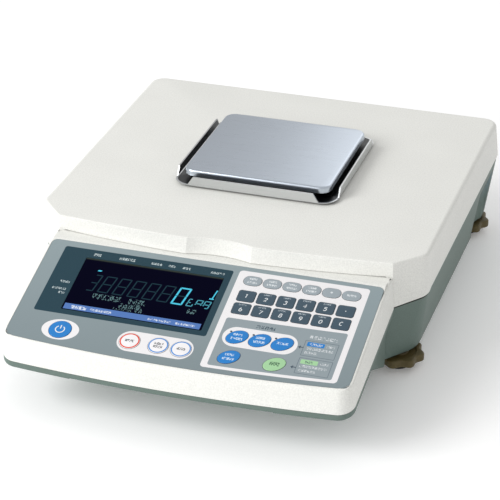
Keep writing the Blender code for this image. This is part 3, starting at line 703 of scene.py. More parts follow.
def circuit(name):
    """Board: solder mask over straight tracks, with bright pads at their ends."""
    shader = Shader(name, Roughness=0.35)
    row = (shader.y / 2.6).floor()
    lane = shader.scatter(row, (shader.x / 19.0).floor())
    track = lined((shader.y % 2.6) - 1.3, 0.5) * lane.over(0.45)
    pad = filled((((shader.x % 5.08) - 2.54).math("POWER", 2.0)
                  + ((shader.y % 5.08) - 2.54).math("POWER", 2.0)).root() - 0.75)
    mask = shader.mix(track, srgb(22, 92, 52), srgb(38, 122, 70))
    shader.set("Base Color", shader.mix(pad, mask, srgb(196, 186, 140)))
    shader.set("Metallic", pad * 0.8)
    shader.bump(track + pad, 0.3, 0.0001)
    return shader.material


def film(colours):
    """Printed overlay: grey film with light panels, a dark bezel and small marks."""
    shader = Shader("printed_overlay")
    u, v = shader.panel_place()
    across = u / (OVERLAY_HALF * MM)
    bent = v + across * across * (CONSOLE_BOW * MM) * (v / 112.0).unit()
    cloud = shader.noise(60.0, 2.0)
    grain = shader.noise(0.5, 2.0)
    tint = tuple(colours.film)
    base = shader.mix((v / 150.0 + cloud * 0.25).unit(), tuple(c * 1.12 for c in tint),
                      tuple(c * 0.86 for c in tint))
    white = tuple(colours.panel)
    tips = []
    for row in ARROW_ROWS:
        tips.append(filled((abs(v - row) * 1.1 - (u - 90.4)).high(u - 92.4)))
        tips.append(filled(frame_distance(u, v, (92.2, 94.8, row - 0.45, row + 0.45), 0.1)))
    dots = [filled(round_distance(u, v, place, 0.95, 0.95)) for place in DOTS]
    captions = [marks(shader, u, v, box, 2.3, box[0], 0.55) for box in CAPTION_AREAS]
    layers = [
        (filled(frame_distance(u, bent, KEY_FIELD, 3.0)), white),
        (filled(frame_distance(u, bent, LOWER_FIELD, 2.0)), srgb(142, 153, 158)),
        (filled(frame_distance(u, v, BLUE_FIELD, 10.5)), white),
        (filled(round_distance(u, v, *POWER_FIELD)), white),
        (filled(frame_distance(u, v, RING_FIELD, 10.7)), white),
        (filled(frame_distance(u, v, BEZEL_FIELD, 2.0)), tuple(colours.bezel)),
        *((lined(frame_distance(u, v, box, 0.4), 0.35), srgb(86, 100, 110))
          for box in HINT_FRAMES),
        (filled(frame_distance(u, v, BLUE_TAG, 0.6)), tuple(colours.blue)),
        (filled(frame_distance(u, v, GREEN_TAG, 0.6)), tuple(colours.green)),
        (union(dots + tips), srgb(70, 84, 96)),
        (union([marks(shader, u, v, *row) for row in DARK_TICKS]), srgb(74, 90, 100)),
        (union([marks(shader, u, v, *row) for row in LIGHT_TICKS]) * 0.8, srgb(214, 218, 220)),
        (union(captions) * 0.85, srgb(196, 208, 210)),
    ]
    shade = base
    for mask, tint in layers:
        shade = shader.mix(mask, shade, tint)
    shader.set("Base Color", shade)
    shader.set("Roughness", 0.34 + grain * 0.1 + cloud * 0.05)
    shader.set("Specular IOR Level", 0.25)
    shader.bump(grain + layers[0][0] * 0.6, 0.18, 0.00004)
    return shader.material


def eight(x, y, half_x, half_y, stroke, bar=True):
    """Mask of a seven-segment figure: a frame, its middle bar, and gaps at the joints."""
    box = (-half_x, half_x, -half_y, half_y)
    mask = filled(abs(frame_distance(x, y, box, 0.3)) - stroke / 2, 0.25)
    if bar:
        middle = (abs(y) - stroke / 2).high(abs(x) - half_x)
        mask = mask.high(filled(middle, 0.25))
    corner = abs(abs(x) - half_x + half_y - abs(y)) - 0.18
    waist = abs(abs(y) - (half_x - abs(x)).high(0.0) * 0.5) - 0.2
    side = (half_x - 0.6) - abs(x)
    return mask * (1.0 - filled(corner, 0.2)) * (1.0 - filled(waist.high(side), 0.2))


def glass(colours):
    """Dark display behind a smoked window: one lit figure, unlit ones shown by a painted faint
    glow, and a strip.
    """
    shader = Shader("display_glass", Roughness=0.08)
    u, v = shader.panel_place()
    down = v - FIGURE_Y
    lean = u + down * LEGEND_LEAN
    place = lean - FIGURE_X
    shift = place + FIGURE_PITCH / 2
    ghost = eight((shift % FIGURE_PITCH) - FIGURE_PITCH / 2, down, 4.0, 8.9, 1.0)
    ghost = ghost * (0.5 - (shift / FIGURE_PITCH).floor()).over(0.0) * lean.over(-91.0)
    lit = eight(place, down, 4.1, 8.9, 1.5, bar=False) * filled(abs(place) - 6.2)
    stroke = filled(frame_distance(lean, v, (8.8, 9.8, 30.5, 40.5), 0.2))
    foot = filled(frame_distance(lean, v, (7.1, 10.9, 40.0, 41.2), 0.2))
    lamp = filled(frame_distance(lean + v * 0.3, v, LAMP_AREA, 0.2))
    bright = union([lit, stroke, foot, lamp])
    unit_cell = ((lean + 8.1) % 6.6) - 3.3
    units = eight(unit_cell, v - 47.8, 2.3, 3.8, 0.85) * lean.over(-8.1) * (11.7 - lean).over(0.0)
    units = units * shader.scatter(((lean + 8.1) / 3.3).floor(), (v / 3.8).floor(), 4.0).over(0.3)
    dots = shader.scatter((lean / 0.85).floor(), (v / 0.95).floor(), 2.0).over(0.5)
    grid = abs((lean % 0.85) - 0.42).math("LESS_THAN", 0.3)
    lines = union([filled(frame_distance(u, v, box, 0.1)) for box in DOT_ROWS])
    matrix = lines * dots * grid * (1.0 - (lean % 4.9).over(3.9))
    strip = filled(frame_distance(u, v, STRIP_AREA, 0.3))
    name_marks = union([marks(shader, u, v, *row) for row in STRIP_TICKS])
    # Painted highlight: a greyer band along the window's top edge, for light on its bevel.
    edge = filled(v - 17.2, 1.6)
    tint = shader.mix(edge * 0.8, srgb(2, 2, 22), srgb(62, 70, 62))
    tint = shader.mix(strip, tint, tuple(colours.strip))
    tint = shader.mix(strip * name_marks, tint, srgb(206, 214, 228))
    shader.set("Base Color", tint)
    # Painted light: the unlit figures glow faintly, in place of the light they reflect.
    glow = shader.mix(ghost * 0.9, (0.0, 0.0, 0.0), srgb(34, 62, 68))
    glow = shader.mix(matrix * 0.75, glow, srgb(120, 158, 160))
    glow = shader.mix(units * 0.9, glow, srgb(88, 178, 196))
    glow = shader.mix(bright, glow, tuple(colours.lit))
    shader.set("Emission Color", glow)
    shader.set("Emission Strength", 1.0)
    shader.set("Specular IOR Level", 0.025)
    shader.set("Roughness", 0.07 + strip * 0.25 + shader.noise(30.0, 2.0) * 0.03)
    return shader.material


def key_plastic(name, tint, draw=None, roughness=0.34):
    """Film over a key: faint grain, printed marks, and painted shade on its side below its rounded
    edge.
    """
    shader = Shader(name)
    grain = shader.noise(0.45, 2.0)
    cloud = shader.noise(9.0, 2.0)
    base = shader.mix((grain * 0.5 + cloud * 0.5).unit(), tuple(c * 0.9 for c in tint),
                      tuple(min(c * 1.08, 1.0) for c in tint))
    if draw:
        base = draw(shader, base, *shader.panel_place())
    # Painted shade: the key's side below its rounded top is darkened to a quarter of its colour.
    side = filled(shader.panel_height() - 0.14, 0.1)
    shader.set("Base Color", shader.mix(side, base, tuple(c * 0.25 for c in tint)))
    shader.set("Roughness", (roughness - 0.05) + grain * 0.1)
    shader.set("Specular IOR Level", 0.45)
    shader.bump(grain, 0.15, 0.00004)
    return shader.material


def slate_marks(shader, base, u, v):
    """Tiny ticks over the number on the middle keys of each row and on the lower row's first."""
    across, column = key_column(u)
    band = filled(abs(v - 27.9) - 0.75).high(filled(abs(v - 42.1) - 0.75))
    middle = column.over(0.5) * (4.5 - column).over(0.0)
    first = (0.5 - abs(column)).over(0.0) * (v - 39.0).over(0.0)
    ticks = tick_grid(shader, u, v, 0.5, 7.0, 0.55)
    mask = band * ticks * filled(abs(across) - 3.1) * middle.high(first)
    return shader.mix(mask * 0.75, base, srgb(190, 200, 206))


def oval_marks(shader, base, u, v):
    """Pale ticks: two rows on the first four oval keys and one on the last; the fifth has a dot."""
    across, column = key_column(u)
    first = filled(abs(v - 12.6) - 1.1) * filled(abs(across) - 3.2)
    second = filled(abs(v - 16.4) - 1.0) * filled(abs(across) - 4.1)
    single = filled(abs(v - 14.6) - 1.1) * filled(abs(across) - 3.8) * column.over(4.5)
    dot = filled((across * across + (v - 14.4) * (v - 14.4)).root() - 1.0)
    dot = dot * column.over(3.5) * (4.5 - column).over(0.0)
    rows = (first.high(second) * (3.5 - column).over(0.0)).high(single)
    mask = rows * tick_grid(shader, u, v, 0.62, 9.0, 0.58)
    return shader.mix(mask.high(dot) * 0.8, base, srgb(222, 226, 228))


def blue_marks(shader, base, u, v):
    """Pale ticks on the blue keys, in one or two rows, but none on the power key."""
    keys = [(across, BLUE_ROW, rows)
            for across, rows in zip(BLUE_KEYS, ((-2.2, 2.2), (-2.2, 2.2), (0.0,)))]
    keys.append((BLUE_KEYS[0], LOWER_ROW, (-2.2, 2.2)))
    rows = [block(u, v, (across * MM, down * MM + row), 4.6 if row >= 0 else 3.6, 1.25)
            for across, down, offsets in keys for row in offsets]
    mask = union(rows) * tick_grid(shader, u, v, 0.66, 12.0, 0.55)
    return shader.mix(mask * 0.85, base, srgb(206, 222, 238))


def green_marks(shader, base, u, v):
    """Dark ticks on the green key."""
    mask = block(u, v, (78.0, LOWER_ROW * MM), 3.9, 1.9) * tick_grid(shader, u, v, 0.75, 15.0, 0.62)
    return shader.mix(mask * 0.85, base, srgb(48, 84, 62))


def ring_marks(colours):
    """A coloured ring near the rim of each round white key, and dark ticks inside."""
    def draw(shader, base, u, v):
        rings, rows = [], []
        for across, offsets in zip(RING_KEYS, ((0.0,), (-1.7, 1.7), (0.0,))):
            x, y = u - across * MM, v - LOWER_ROW * MM
            rings.append(filled(abs((x * x + y * y).root() - 7.35) - 0.55))
            rows += [block(u, v, (across * MM, LOWER_ROW * MM + row), 3.6, 1.3)
                     for row in offsets]
        tint = shader.mix((u + 27.0).over(0.0), tuple(colours.red), tuple(colours.ring))
        mask = union(rows) * tick_grid(shader, u, v, 0.7, 18.0, 0.58)
        base = shader.mix(mask * 0.85, base, srgb(64, 70, 74))
        return shader.mix(union(rings), base, tint)
    return draw


def finishes(colours, sizes):
    """Every material by the record's slot name, and one more each for the tray and the base."""
    grain = sizes.grain
    return {
        # Painted shade: the tray's sheet is nearly black below this height.
        "tray": brushed("brushed_tray", srgb(222, 224, 225), TRAY_LOW.z + SHEET + 0.0008),
        # Painted shade and light on the base: a dark line under the skirt, and highlights and
        # shadow lines at the hand grips.
        "base": moulded("tub_plastic", tuple(colours.base), grain, 0.5, 0.3, 0.05, base_painted_light),
        "warm_white_plastic": moulded("cover_plastic", tuple(colours.cover), grain, 0.52),
        "grey_green_plastic": moulded("base_plastic", tuple(colours.base), grain, 0.5, 0.26),
        "overlay_film": film(colours),
        "dark_window": glass(colours),
        "brushed_stainless": brushed("brushed_pan", tuple(colours.steel)),
        "cast_alloy": metal("cast_alloy", srgb(190, 192, 194), 0.42),
        "plated_steel": metal("plated_steel", srgb(186, 186, 190), 0.3, 0.8),
        "bronze_plastic": moulded("knob_plastic", tuple(colours.knob), grain, 0.46, 0.3, 0.08),
        "black_rubber": moulded("pad_rubber", srgb(34, 34, 34), grain, 0.8, 0.4, 0.1),
        "green_board": circuit("circuit_board"),
        "black_plastic": moulded("socket_plastic", srgb(28, 28, 30), grain * 0.6, 0.45),
        "grey_key": key_plastic("oval_key", tuple(colours.oval), oval_marks),
        "slate_key": key_plastic("number_key", tuple(colours.slate), slate_marks),
        "blue_key": key_plastic("blue_key", tuple(colours.blue), blue_marks),
        "green_key": key_plastic("green_key", tuple(colours.green), green_marks),
        "white_key": key_plastic("ring_key", srgb(238, 236, 238), ring_marks(colours)),
    }


# ---- housing ----------------------------------------------------------------------------
def cover_outline(half, back, lean):
    """Plan of the cover: straight sides, cut front corners, and a bowed front with a bay.

    The front is RIDGE_Y less the bow times 1 - (x / RIDGE_X)^2, plus the bay's own parabola.
    """
    marks_at = np.concatenate([np.linspace(-NOTCH_X, NOTCH_X, 97),
                               np.linspace(-BAY_HALF, BAY_HALF, 25),
                               [-NOTCH_X - 0.0001, NOTCH_X + 0.0001]])
    x = np.unique(marks_at.round(7))
    bay = BAY_DEPTH * np.clip(1 - (x / BAY_HALF) ** 2, 0, None)
    front = RIDGE_Y - (FRONT_BOW + lean) * (1 - (x / RIDGE_X) ** 2) + bay
    corners = [(RIDGE_X, RIDGE_Y, 0), (half, SIDE_CORNER, 0.014), (half, DIP_START, 0),
               (half, back, 0.013), (-half, back, 0.013), (-half, DIP_START, 0),
               (-half, SIDE_CORNER, 0.014), (-RIDGE_X, RIDGE_Y, 0)]
    return np.concatenate([outline(corners, 14), np.column_stack([x, front])])


def skirt_height(points):
    """Height of the cover's lower edge: level, falling to the ridges, high over the console."""
    x, y = points.T
    share = np.clip((DIP_START - y) / (DIP_START - RIDGE_Y), 0, 1)
    level = SKIRT_BOTTOM - SKIRT_DIP * share
    over = (abs(x) <= NOTCH_X) & (y < SIDE_CORNER)
    return np.where(over, console_height(BEND_Y) + GAP, level)


def build_cover(sizes):
    """Cover: rings run up the outer wall, over its rounded edge to the post hole and back."""
    top = cover_outline(COVER_HALF, COVER_BACK, 0.0)
    low = cover_outline(COVER_HALF + SIDE_LEAN, COVER_BACK + BACK_LEAN, FRONT_LEAN)
    edge = np.interp(top[:, 1], (RIDGE_Y, SIDE_CORNER + 0.02),
                     (sizes.front_edge, sizes.side_edge))
    skirt = skirt_height(low)
    centre = np.array([0.0, PAN_Y])
    away = top - centre
    hole = centre + POST_HOLE * away / np.linalg.norm(away, axis=1, keepdims=True)
    inner_low = inset(low, COVER_WALL)
    rings = [raised(hole, COVER_TOP - COVER_WALL),
             raised(inset(top, COVER_WALL), COVER_TOP - COVER_WALL),
             raised(inner_low, skirt), raised(inset(low, 0.0003), skirt),
             raised(low, skirt + 0.0003)]
    for turn in np.radians(np.linspace(0, 90, 9)):
        rings.append(raised(inset(top, edge * (1 - math.cos(turn))),
                            COVER_TOP - edge * (1 - math.sin(turn))))
    rings.append(raised(hole, COVER_TOP))
    return surface("cover_shell", rings, closed=True, sharp=14)


def base_outline(half, back, side_y, ridge_x, corner):
    """Plan of the base with points close together where the hand grips will be."""
    front = RIDGE_Y + 0.001
    straight = max(side_y + corner / 2, DIP_START)
    grips = np.linspace(GRIP_Y - GRIP_HALF, GRIP_Y + GRIP_HALF, 65)
    right = [(half, y, 0) for y in grips]
    left = [(-half, y, 0) for y in grips[::-1]]
    return outline([(ridge_x, front, 0), (half, side_y, corner), (half, straight, 0), *right,
                    (half, back, 0.013), (-half, back, 0.013), *left, (-half, straight, 0),
                    (-half, side_y, corner), (-ridge_x, front, 0)], 14)


def scooped(points):
    """The outline pressed in at each hand grip, along half an ellipse."""
    along = np.clip(abs(points[:, 1] - GRIP_Y) / GRIP_HALF, 0, 1)
    edge = COVER_HALF - GRIP_DEEP * np.sqrt(1 - along ** 2)
    inside = (along < 1) & (abs(points[:, 0]) > GRIP_SIDE)
    x = np.where(inside, np.sign(points[:, 0]) * np.minimum(abs(points[:, 0]), edge),
                 points[:, 0])
    return np.column_stack([x, points[:, 1]])


def build_base():
    """Tub: rings rise from the floor along a straight draft, with grips below GRIP_TOP."""
    wall = base_outline(COVER_HALF + SIDE_LEAN - BASE_SHOULDER,
                        COVER_BACK + BACK_LEAN - BASE_SHOULDER,
                        SIDE_CORNER + BASE_SHOULDER / 2, RIDGE_X - BASE_SHOULDER, 0.014)
    foot = base_outline(BASE_HALF, BASE_BACK, PAN_Y - 0.1135, 0.1285, 0.034)
    share = np.clip((DIP_START - wall[:, 1]) / (DIP_START - RIDGE_Y), 0, 1)
    shoulder = SKIRT_BOTTOM - SEAM - SKIRT_DIP * share

    def level(height):
        part = ((height - BASE_BOTTOM) / (shoulder - BASE_BOTTOM))[:, None]
        return foot + (wall - foot) * part

    rings = []
    for turn in np.radians(np.linspace(0, 90, 6)):
        height = BASE_BOTTOM + BASE_EDGE * (1 - math.cos(turn))
        rings.append(raised(inset(scooped(foot), BASE_EDGE * (1 - math.sin(turn))), height))
    rings += [raised(scooped(level(GRIP_TOP)), GRIP_TOP), raised(level(GRIP_TOP), GRIP_TOP)]
    lip = inset(wall, LIP_STEP)
    rings += [raised(wall, shoulder), raised(lip, shoulder), raised(lip, LIP_TOP)]
    rings += [raised(inset(wall, LIP_STEP + BASE_WALL), LIP_TOP),
              raised(inset(foot, GRIP_DEEP), BASE_BOTTOM + BASE_FLOOR)]
    shell = surface("base_shell", rings, low_cap=True, high_cap=True, sharp=25)
    holes = [prism("stud_hole", circle(STUD_RADIUS + GAP, (x, y), 32), 0.0, 0.03)
             for x in FOOT_SIDES.values() for y in FOOT_ENDS.values()]
    for node in ("dc_jack", "serial_port"):
        low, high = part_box(node)
        reach = outline([(high.x + GAP, high.y + 0.02, 0), (low.x - GAP, high.y + 0.02, 0),
                         (low.x - GAP, high.y - 0.012, 0), (high.x + GAP, high.y - 0.012, 0)])
        holes.append(prism("rear_hole", reach, low.z - GAP, high.z + GAP))
    return cut(shell, holes)


# ---- console ------------------------------------------------------------------------------
def console_outline(half, back, front, rear_corner, front_corner, bow=CONSOLE_BOW):
    """Plan of the console: straight sides and back, and a front bowed as a parabola."""
    x = np.linspace(-0.92, 0.92, 41) * (half - front_corner)
    curve = front + bow * (x / half) ** 2
    middle = [(a, b, 0) for a, b in zip(x, curve)]
    sides = np.linspace(back - 0.008, front + 0.03, 5)
    left = [(-half, y, 0) for y in sides]
    right = [(half, y, 0) for y in sides[::-1]]
    return outline([(half, back, rear_corner), (-half, back, rear_corner), *left,
                    (-half, front + bow, front_corner), *middle,
                    (half, front + bow, front_corner), *right], 12)


def build_console_top(sizes):
    """Upper case: rings run up the wall, over the edge and inwards to the overlay's recess.

    Between edge and recess the rings are a straight blend of the two outlines, lifted onto
    the slope, so that the level strip behind the overlay bends where the slope starts.
    """
    top = console_outline(CONSOLE_HALF, CONSOLE_BACK, CONSOLE_FRONT + 0.0015, 0.0008, 0.012)
    low = console_outline(CONSOLE_HALF + CONSOLE_FLARE, CONSOLE_BACK, CONSOLE_FRONT, 0.0008,
                          0.0135)
    slant = math.cos(SLOPE)
    well = console_outline(OVERLAY_HALF + GAP, PANEL_Y + GAP, PANEL_Y - (OVERLAY_LONG + GAP)
                           * slant, 0.005, 0.005, CONSOLE_BOW * slant)
    edge = sizes.case_edge
    inner = inset(low, CONSOLE_WALL)
    rings = [raised(well, console_height(well[:, 1]) - WELL_DEEP),
             raised(inset(top, CONSOLE_WALL), console_height(top[:, 1]) - WELL_DEEP),
             raised(inner, parting_height(inner[:, 1]) + GAP / 2),
             raised(low, parting_height(low[:, 1]) + GAP / 2)]
    for turn in np.radians(np.linspace(0, 90, 8)):
        ring = inset(top, np.where(top[:, 1] > CONSOLE_BACK - 1e-5, 0.2, 1.0)
                     * edge * (1 - math.cos(turn)))
        rings.append(raised(ring, console_height(ring[:, 1]) - edge * (1 - math.sin(turn))))
    rim = inset(top, edge)
    for share in np.linspace(0, 1, 14)[1:]:
        ring = rim + (well - rim) * share
        rings.append(raised(ring, console_height(ring[:, 1])))
    return surface("console_shell", rings, closed=True, sharp=40)


def build_console_bottom():
    """Lower case: a shallow tray under the joint, relieved at the front, and a neck."""
    low = console_outline(CONSOLE_HALF + CONSOLE_FLARE, CONSOLE_BACK, CONSOLE_FRONT, 0.0008,
                          0.0135)
    rings = []
    for turn in np.radians(np.linspace(0, 90, 7)):
        ring = inset(low, BOTTOM_EDGE * (1 - math.sin(turn)))
        rings.append(raised(ring, parting_height(ring[:, 1]) - BOTTOM_DEEP
                            + BOTTOM_EDGE * (1 - math.cos(turn))))
    inner = inset(low, CONSOLE_WALL)
    rings += [raised(low, parting_height(low[:, 1]) - GAP / 2),
              raised(inner, parting_height(inner[:, 1]) - GAP / 2),
              raised(inner, parting_height(inner[:, 1]) - BOTTOM_DEEP + 0.0035)]
    tray = surface("tray_part", rings, low_cap=True, high_cap=True, sharp=30)
    near, far = CONSOLE_FRONT - 0.003, CONSOLE_FRONT + 0.016
    profile = outline([(y, parting_height(y) - BOTTOM_DEEP + rise, 0)
                       for y, rise in ((far, -0.004), (far, RELIEF_DEEP),
                                       (near, RELIEF_DEEP), (near, -0.004))])
    relief = surface("relief", [np.column_stack([np.full(4, x), profile])
                                for x in (-RELIEF_HALF, RELIEF_HALF)],
                     low_cap=True, high_cap=True)
    tray = cut(tray, [relief])
    under = BASE_BOTTOM + 0.0015
    tip = CONSOLE_BACK - NECK_REACH
    wedge = outline([(CONSOLE_BACK, under, 0.0006),
                     (CONSOLE_BACK, parting_height(CONSOLE_BACK) - 0.002, 0.0006),
                     (tip, parting_height(tip) - BOTTOM_DEEP + 0.0025, 0.004)], 6)
    across = []
    for x, shrink in ((-NECK_HALF, NECK_BEVEL), (-NECK_HALF + NECK_BEVEL, 0.0),
                      (NECK_HALF - NECK_BEVEL, 0.0), (NECK_HALF, NECK_BEVEL)):
        across.append(np.column_stack([np.full(len(wedge), x), inset(wedge, -shrink)]))
    neck = surface("neck_part", across, low_cap=True, high_cap=True, sharp=30)
    return joined("console_tray", tray, neck)


# ---- pan and tray -------------------------------------------------------------------------
def round_box(width, depth, radius, centre=(0.0, 0.0), steps=12):
    """A rectangle with round corners."""
    x, y = width / 2, depth / 2
    return outline([(centre[0] + a, centre[1] + b, radius)
                    for a, b in ((x, y), (-x, y), (-x, -y), (x, -y))], steps)


def build_pan(sizes):
    """Pressed pan: the top turns down through a quarter circle into a short rim."""
    centre = (0.0, PAN_Y)
    plan = round_box(PAN_HIGH.x - PAN_LOW.x, PAN_HIGH.y - PAN_LOW.y, PAN_CORNER,
                     centre, 16)
    edge = sizes.pan_edge
    turns = np.radians(np.linspace(90, 0, 9))
    rings = [raised(inset(plan, edge * (1 - math.cos(turn))),
                    PAN_TOP - edge * (1 - math.sin(turn))) for turn in turns]
    rings.append(raised(plan, PAN_LOW.z))
    rings.append(raised(inset(plan, SHEET), PAN_LOW.z))
    rings += [raised(inset(plan, SHEET + (edge - SHEET) * (1 - math.cos(turn))),
                     PAN_TOP - SHEET - (edge - SHEET) * (1 - math.sin(turn)))
              for turn in turns[::-1]]
    return surface("pan_shell", rings, low_cap=True, high_cap=True, sharp=50)


def build_tray():
    """Tray: the plan's straight runs turn up into flanges whose ends slant.

    The flange height at a point is its distance past the start of the straight run, times
    the flange's slope, held at the full height; round the corners it is the bare sheet.
    """
    width, depth = TRAY_HIGH.x - TRAY_LOW.x, TRAY_HIGH.y - TRAY_LOW.y
    centre = ((TRAY_HIGH.x + TRAY_LOW.x) / 2, (TRAY_HIGH.y + TRAY_LOW.y) / 2)
    x, y = width / 2, depth / 2
    corners = []
    for sx, sy in ((1, 1), (-1, 1), (-1, -1), (1, -1)):
        arc = (centre[0] + sx * x, centre[1] + sy * y, TRAY_CORNER)
        ends = []
        for away in (TRAY_SLANT, TRAY_SLANT * 0.5):
            ends.append((arc[0] - sx * (TRAY_CORNER + away), arc[1], 0))
            ends.append((arc[0], arc[1] - sy * (TRAY_CORNER + away), 0))
        along, up = (ends[0::2], ends[1::2]) if sx == sy else (ends[1::2], ends[0::2])
        corners += [*up, arc, *along[::-1]]
    plan = outline(corners, 14)
    from_side = np.minimum(x - abs(plan[:, 0] - centre[0]), 1.0)
    from_end = y - abs(plan[:, 1] - centre[1])
    run = np.maximum(from_side, from_end) - TRAY_CORNER
    rear = (plan[:, 1] > centre[1]) & (from_end < from_side)
    full = TRAY_HIGH.z - TRAY_LOW.z - np.where(rear, REAR_DROP, 0.0)
    flange = np.clip(run / TRAY_SLANT, 0, 1) * (full - SHEET) + SHEET
    base = TRAY_LOW.z
    away = plan - np.array(centre)
    hole = np.array(centre) + TRAY_HOLE * away / np.linalg.norm(away, axis=1, keepdims=True)
    rings = [raised(hole, base), raised(inset(plan, TRAY_BEND), base)]
    for turn in np.radians((30, 60, 90)):
        rise = np.minimum(TRAY_BEND * (1 - math.cos(turn)), flange)
        rings.append(raised(inset(plan, TRAY_BEND * (1 - math.sin(turn))), base + rise))
    inner = inset(plan, SHEET)
    rings += [raised(plan, base + flange), raised(inner, base + flange),
              raised(inner, base + np.minimum(flange, SHEET + 0.0004)),
              raised(inset(plan, SHEET + 0.0008), base + SHEET), raised(hole, base + SHEET)]
    return surface("tray_shell", rings, closed=True, sharp=40)


# ---- feet -------------------------------------------------------------------------------
def lobed(radius, centre):
    """Knob outline: the radius dips by LOBE_DEPTH times 1 - cos(8 t) between eight lobes."""
    turns = np.linspace(0, 2 * np.pi, 192, endpoint=False)
    reach = radius - LOBE_DEPTH * (1 - np.cos(KNOB_LOBES * turns))
    return np.column_stack([centre[0] + reach * np.cos(turns), centre[1] + reach * np.sin(turns)])


def build_knob(name, centre, sizes):
    """Knob: rings rise over both rounded edges, dish at the top and meet round the stud."""
    radius = (KNOB_HIGH.x - KNOB_LOW.x) / 2
    low, high, edge = KNOB_LOW.z, KNOB_HIGH.z, sizes.knob_edge
    plan = lobed(radius, centre)
    away = plan - np.array(centre)
    unit = away / np.linalg.norm(away, axis=1, keepdims=True)
    rings = [raised(np.array(centre) + unit * 0.013, low + 0.0008),
             raised(np.array(centre) + unit * 0.0145, low)]
    quarter = np.radians(np.linspace(0, 90, 6))
    rings += [raised(inset(plan, edge * (1 - math.sin(t))), low + edge * (1 - math.cos(t)))
              for t in quarter]
    rings += [raised(inset(plan, edge * (1 - math.cos(t))), high - edge * (1 - math.sin(t)))
              for t in quarter]
    socket = STUD_RADIUS + GAP
    rings += [raised(np.array(centre) + unit * r, height)
              for r, height in ((0.0155, high), (0.0145, high - 0.0009), (0.009, high - 0.0009),
                                (0.0082, high), (socket + 0.0003, high),
                                (socket, high - 0.0003), (socket, low + 0.0017))]
    return surface(name, rings, low_cap=True, high_cap=True, sharp=40)


def build_stud(name, centre):
    """Stud: a rod whose radius alternates by the depth of its thread, with a turned tip."""
    low, high = STUD_LOW.z, STUD_HIGH.z
    levels = np.arange(KNOB_HIGH.z + 0.001, high - 0.0012, THREAD_STEP)
    depth = np.where(np.arange(len(levels)) % 2, THREAD_DEPTH, 0.0)
    profile = [(STUD_RADIUS, low), *zip(STUD_RADIUS - depth, levels),
               (STUD_RADIUS - THREAD_DEPTH, high - 0.0008), (STUD_RADIUS - 0.0011, high)]
    rings = [raised(circle(radius, centre, 40), height) for radius, height in profile]
    return surface(name, rings, low_cap=True, high_cap=True, sharp=50)


def build_pad(name, centre):
    """Pad: a short turned button with a groove round it and a dimpled sole."""
    radius, high = (PAD_HIGH.x - PAD_LOW.x) / 2, PAD_HIGH.z
    profile = ((0.5, 0.0006), (0.72, 0.0), (0.94, 0.0), (1.0, 0.0007), (1.0, 0.0018),
               (0.93, 0.0023), (0.93, 0.0028), (1.0, 0.0033), (1.0, high - 0.0008),
               (0.94, high))
    rings = [raised(circle(radius * share, centre, 64), height) for share, height in profile]
    return surface(name, rings, low_cap=True, high_cap=True, sharp=40)


# ---- keys -------------------------------------------------------------------------------
def ellipse(width, depth, tilt=0.0, count=72):
    """An ellipse turned by a tilt: (a cos t, b sin t) rotated."""
    turns = np.linspace(0, 2 * np.pi, count, endpoint=False)
    x, y = width / 2 * np.cos(turns), depth / 2 * np.sin(turns)
    return np.column_stack([x * math.cos(tilt) - y * math.sin(tilt),
                            x * math.sin(tilt) + y * math.cos(tilt)])


def key_table():
    """Every key: name, place across, place down the slope, outline and material slot."""
    keys = []
    for index in range(6):
        keys.append((f"key_function_{index + 1}", GRID_LEFT + index * KEY_PITCH, OVAL_ROW,
                     round_box(0.0150, 0.0104, 0.0049), "grey_key"))
    names = (("1", "2", "3", "4", "5", "point"), ("6", "7", "8", "9", "0", "clear"))
    for row, down in zip(names, DIGIT_ROWS):
        for index, name in enumerate(row):
            keys.append((f"key_{name}", GRID_LEFT + index * KEY_PITCH, down,
                         round_box(0.0142, 0.0122, 0.0020), "slate_key"))
    tilted = ellipse(0.0182, 0.0132, math.radians(31))
    for name, across in zip(("unit_weight", "sample", "tare_entry"), BLUE_KEYS):
        keys.append((f"key_{name}", across, BLUE_ROW, tilted, "blue_key"))
    keys.append(("key_recall", BLUE_KEYS[0], LOWER_ROW, tilted, "blue_key"))
    keys.append(("key_enter", BLUE_KEYS[2], LOWER_ROW, tilted, "green_key"))
    keys.append(("key_power", *POWER_KEY, ellipse(0.0183, 0.0183), "blue_key"))
    for name, across in zip(("zero", "tare", "mode"), RING_KEYS):
        keys.append((f"key_{name}", across, LOWER_ROW, ellipse(0.0166, 0.0166), "white_key"))
    return keys


def build_key(name, across, down, plan, sizes):
    """Key: straight sides, a rounded edge, then rings that shrink onto a shallow crown.

    The crown is crown height times 1 - s^2, where s is a ring's share of the outline.
    """
    edge, crown = sizes.key_edge, sizes.key_crown
    flat = KEY_UP - crown
    rings = [raised(plan, -KEY_DOWN), raised(plan, flat - edge)]
    for turn in np.radians(np.linspace(0, 90, 5))[1:]:
        rings.append(raised(inset(plan, edge * (1 - math.cos(turn))),
                            flat - edge * (1 - math.sin(turn))))
    rim = inset(plan, edge)
    for share in (0.85, 0.65, 0.4, 0.15):
        rings.append(raised(rim * share, flat + crown * (1 - share ** 2)))
    grid = np.array(rings) + np.array([across, -down, 0.0])
    return surface(name, on_panel(grid), low_cap=True, high_cap=True, sharp=50)


def arc(x, y, half_x, half_y, start, end, count=20):
    """Part of an ellipse between two angles in degrees."""
    turns = np.radians(np.linspace(start, end, count))
    return np.column_stack([x + half_x * np.cos(turns), y + half_y * np.sin(turns)])


